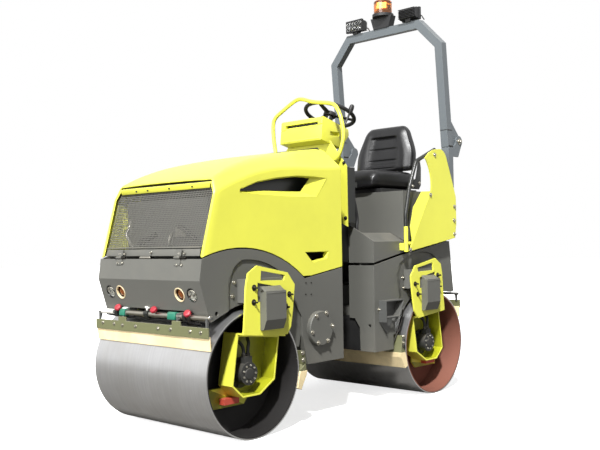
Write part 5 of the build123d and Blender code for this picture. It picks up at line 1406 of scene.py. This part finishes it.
SLOT = ((30, 756), (186, 730), (178, 707), (25, 711))
for way, end, body in ENDS:
    for side, label in SIDES:
        yoke = "yoke_%s_%s" % (end, label)
        arm = taken_from(yoke)
        cut(arm, plate("cutter", [(way * (AXLE_Y - y), z) for y, z in SLOT], 40, on_side(side * 430 - 20)))
        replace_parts(fit(smooth(arm, 25), body, YOKE_PAINT[end]), yoke)

# ---- small parts beside and below the driver ----------------------------------------------
flap = [(120, 286), (300, 286), (300, 476), (120, 476)]
fit(plate("notch_flap", flap, 5, on_front(224), 1), REAR, RUBBER)
fit(pipe("travel_lever", [(128, 262, 1518), (136, 300, 1570), (150, 312, 1622)], 6, 14), REAR, BLACK)
grip = turned("travel_grip", [(0.01, 0), (11, 0), (14, 10), (14.5, 30), (12, 44), (6, 50), (0.01, 51)], 24,
              closed=True)
grip.data.transform(facing(at(148, 311, 1614), (0.28, 0.2, 0.95)))
fit(grip, REAR, PLASTIC)
fastened("step_screw", hexagon_bolt(13), [(380, 247, 513)], (1, 0, 0), REAR, ZINC)
link = pipe("step_link", [(402, 437, 500), (400, 420, 430), (388, 395, 370), (371, 372, 306)], 5)
fit(link, REAR, OXIDE)

# ---- floor, light and camera --------------------------------------------------------------
deselect()
bpy.ops.mesh.primitive_plane_add(size=60, location=(0, 0, 0))
floor = bpy.context.object
floor.name = "floor"
pale, tree, surface = shader("pale floor")
speck = effect(tree, MOTTLE, Size=0.5, Sharpness=0.1)["Mask"]
seen = blend_colours(tree, speck, linear((246, 246, 246)), linear((250, 250, 250)))
eye_ray = node(tree, "ShaderNodeLightPath").outputs["Is Camera Ray"]
tree.links.new(blend_colours(tree, eye_ray, linear((96, 94, 90)), seen), surface.inputs["Base Color"])
tree.links.new(scaled(tree, eye_ray, 0.72), surface.inputs["Emission Strength"])
surface.inputs["Emission Color"].default_value = (1, 1, 1, 1)
surface.inputs["Roughness"].default_value = 0.8
floor.data.materials.append(pale)

world = bpy.data.worlds.new("studio")
bpy.context.scene.world = world
world.use_nodes = True
air = world.node_tree
backdrop = air.nodes["Background"]
path = node(air, "ShaderNodeLightPath").outputs
direct = number(air, "MAXIMUM", path["Is Camera Ray"], path["Is Transmission Ray"])
shown = number(air, "MAXIMUM", direct, path["Is Glossy Ray"])
backdrop.inputs["Color"].default_value = (1, 1, 1, 1)
air.links.new(spread(air, shown, 0.0, 1.0, 0.15, 1.0), backdrop.inputs["Strength"])


def lamp_towards(name, direction, strength, angle):
    """Soft distant lamp shining along a direction."""
    light = bpy.data.lights.new(name, "SUN")
    light.energy = strength
    light.angle = math.radians(angle)
    ob = bpy.data.objects.new(name, light)
    bpy.context.scene.collection.objects.link(ob)
    ob.rotation_euler = Vector(direction).to_track_quat("-Z", "Y").to_euler()


lamp_towards("main light", (-0.39, 0.55, -0.74), 6.3, 4)
lamp_towards("front light", (-0.10, 0.95, -0.30), 2.8, 40)

# The eye's place on the machine, its turn, its slight look upward and its roll, and its lens.
EYE_PLACE, FOCAL = (3085.12, -3308.26, 875.41), 49.257
YAW, PITCH, ROLL = 0.744652, 0.0227684, -0.0158018
camera = bpy.data.cameras.new("view")
camera.sensor_width = 36
camera.lens = FOCAL
camera.clip_end = 200
eye = bpy.data.objects.new("view", camera)
bpy.context.scene.collection.objects.link(eye)
ahead = Vector((-math.sin(YAW) * math.cos(PITCH), math.cos(YAW) * math.cos(PITCH), math.sin(PITCH)))
level_right = Vector((math.cos(YAW), math.sin(YAW), 0))
level_up = level_right.cross(ahead)
right = math.cos(ROLL) * level_right + math.sin(ROLL) * level_up
above = math.cos(ROLL) * level_up - math.sin(ROLL) * level_right
eye.matrix_world = Matrix.Translation(at(*EYE_PLACE)) @ Matrix((right, above, -ahead)).transposed().to_4x4()
bpy.context.scene.camera = eye
bpy.context.scene.view_settings.view_transform = "Standard"
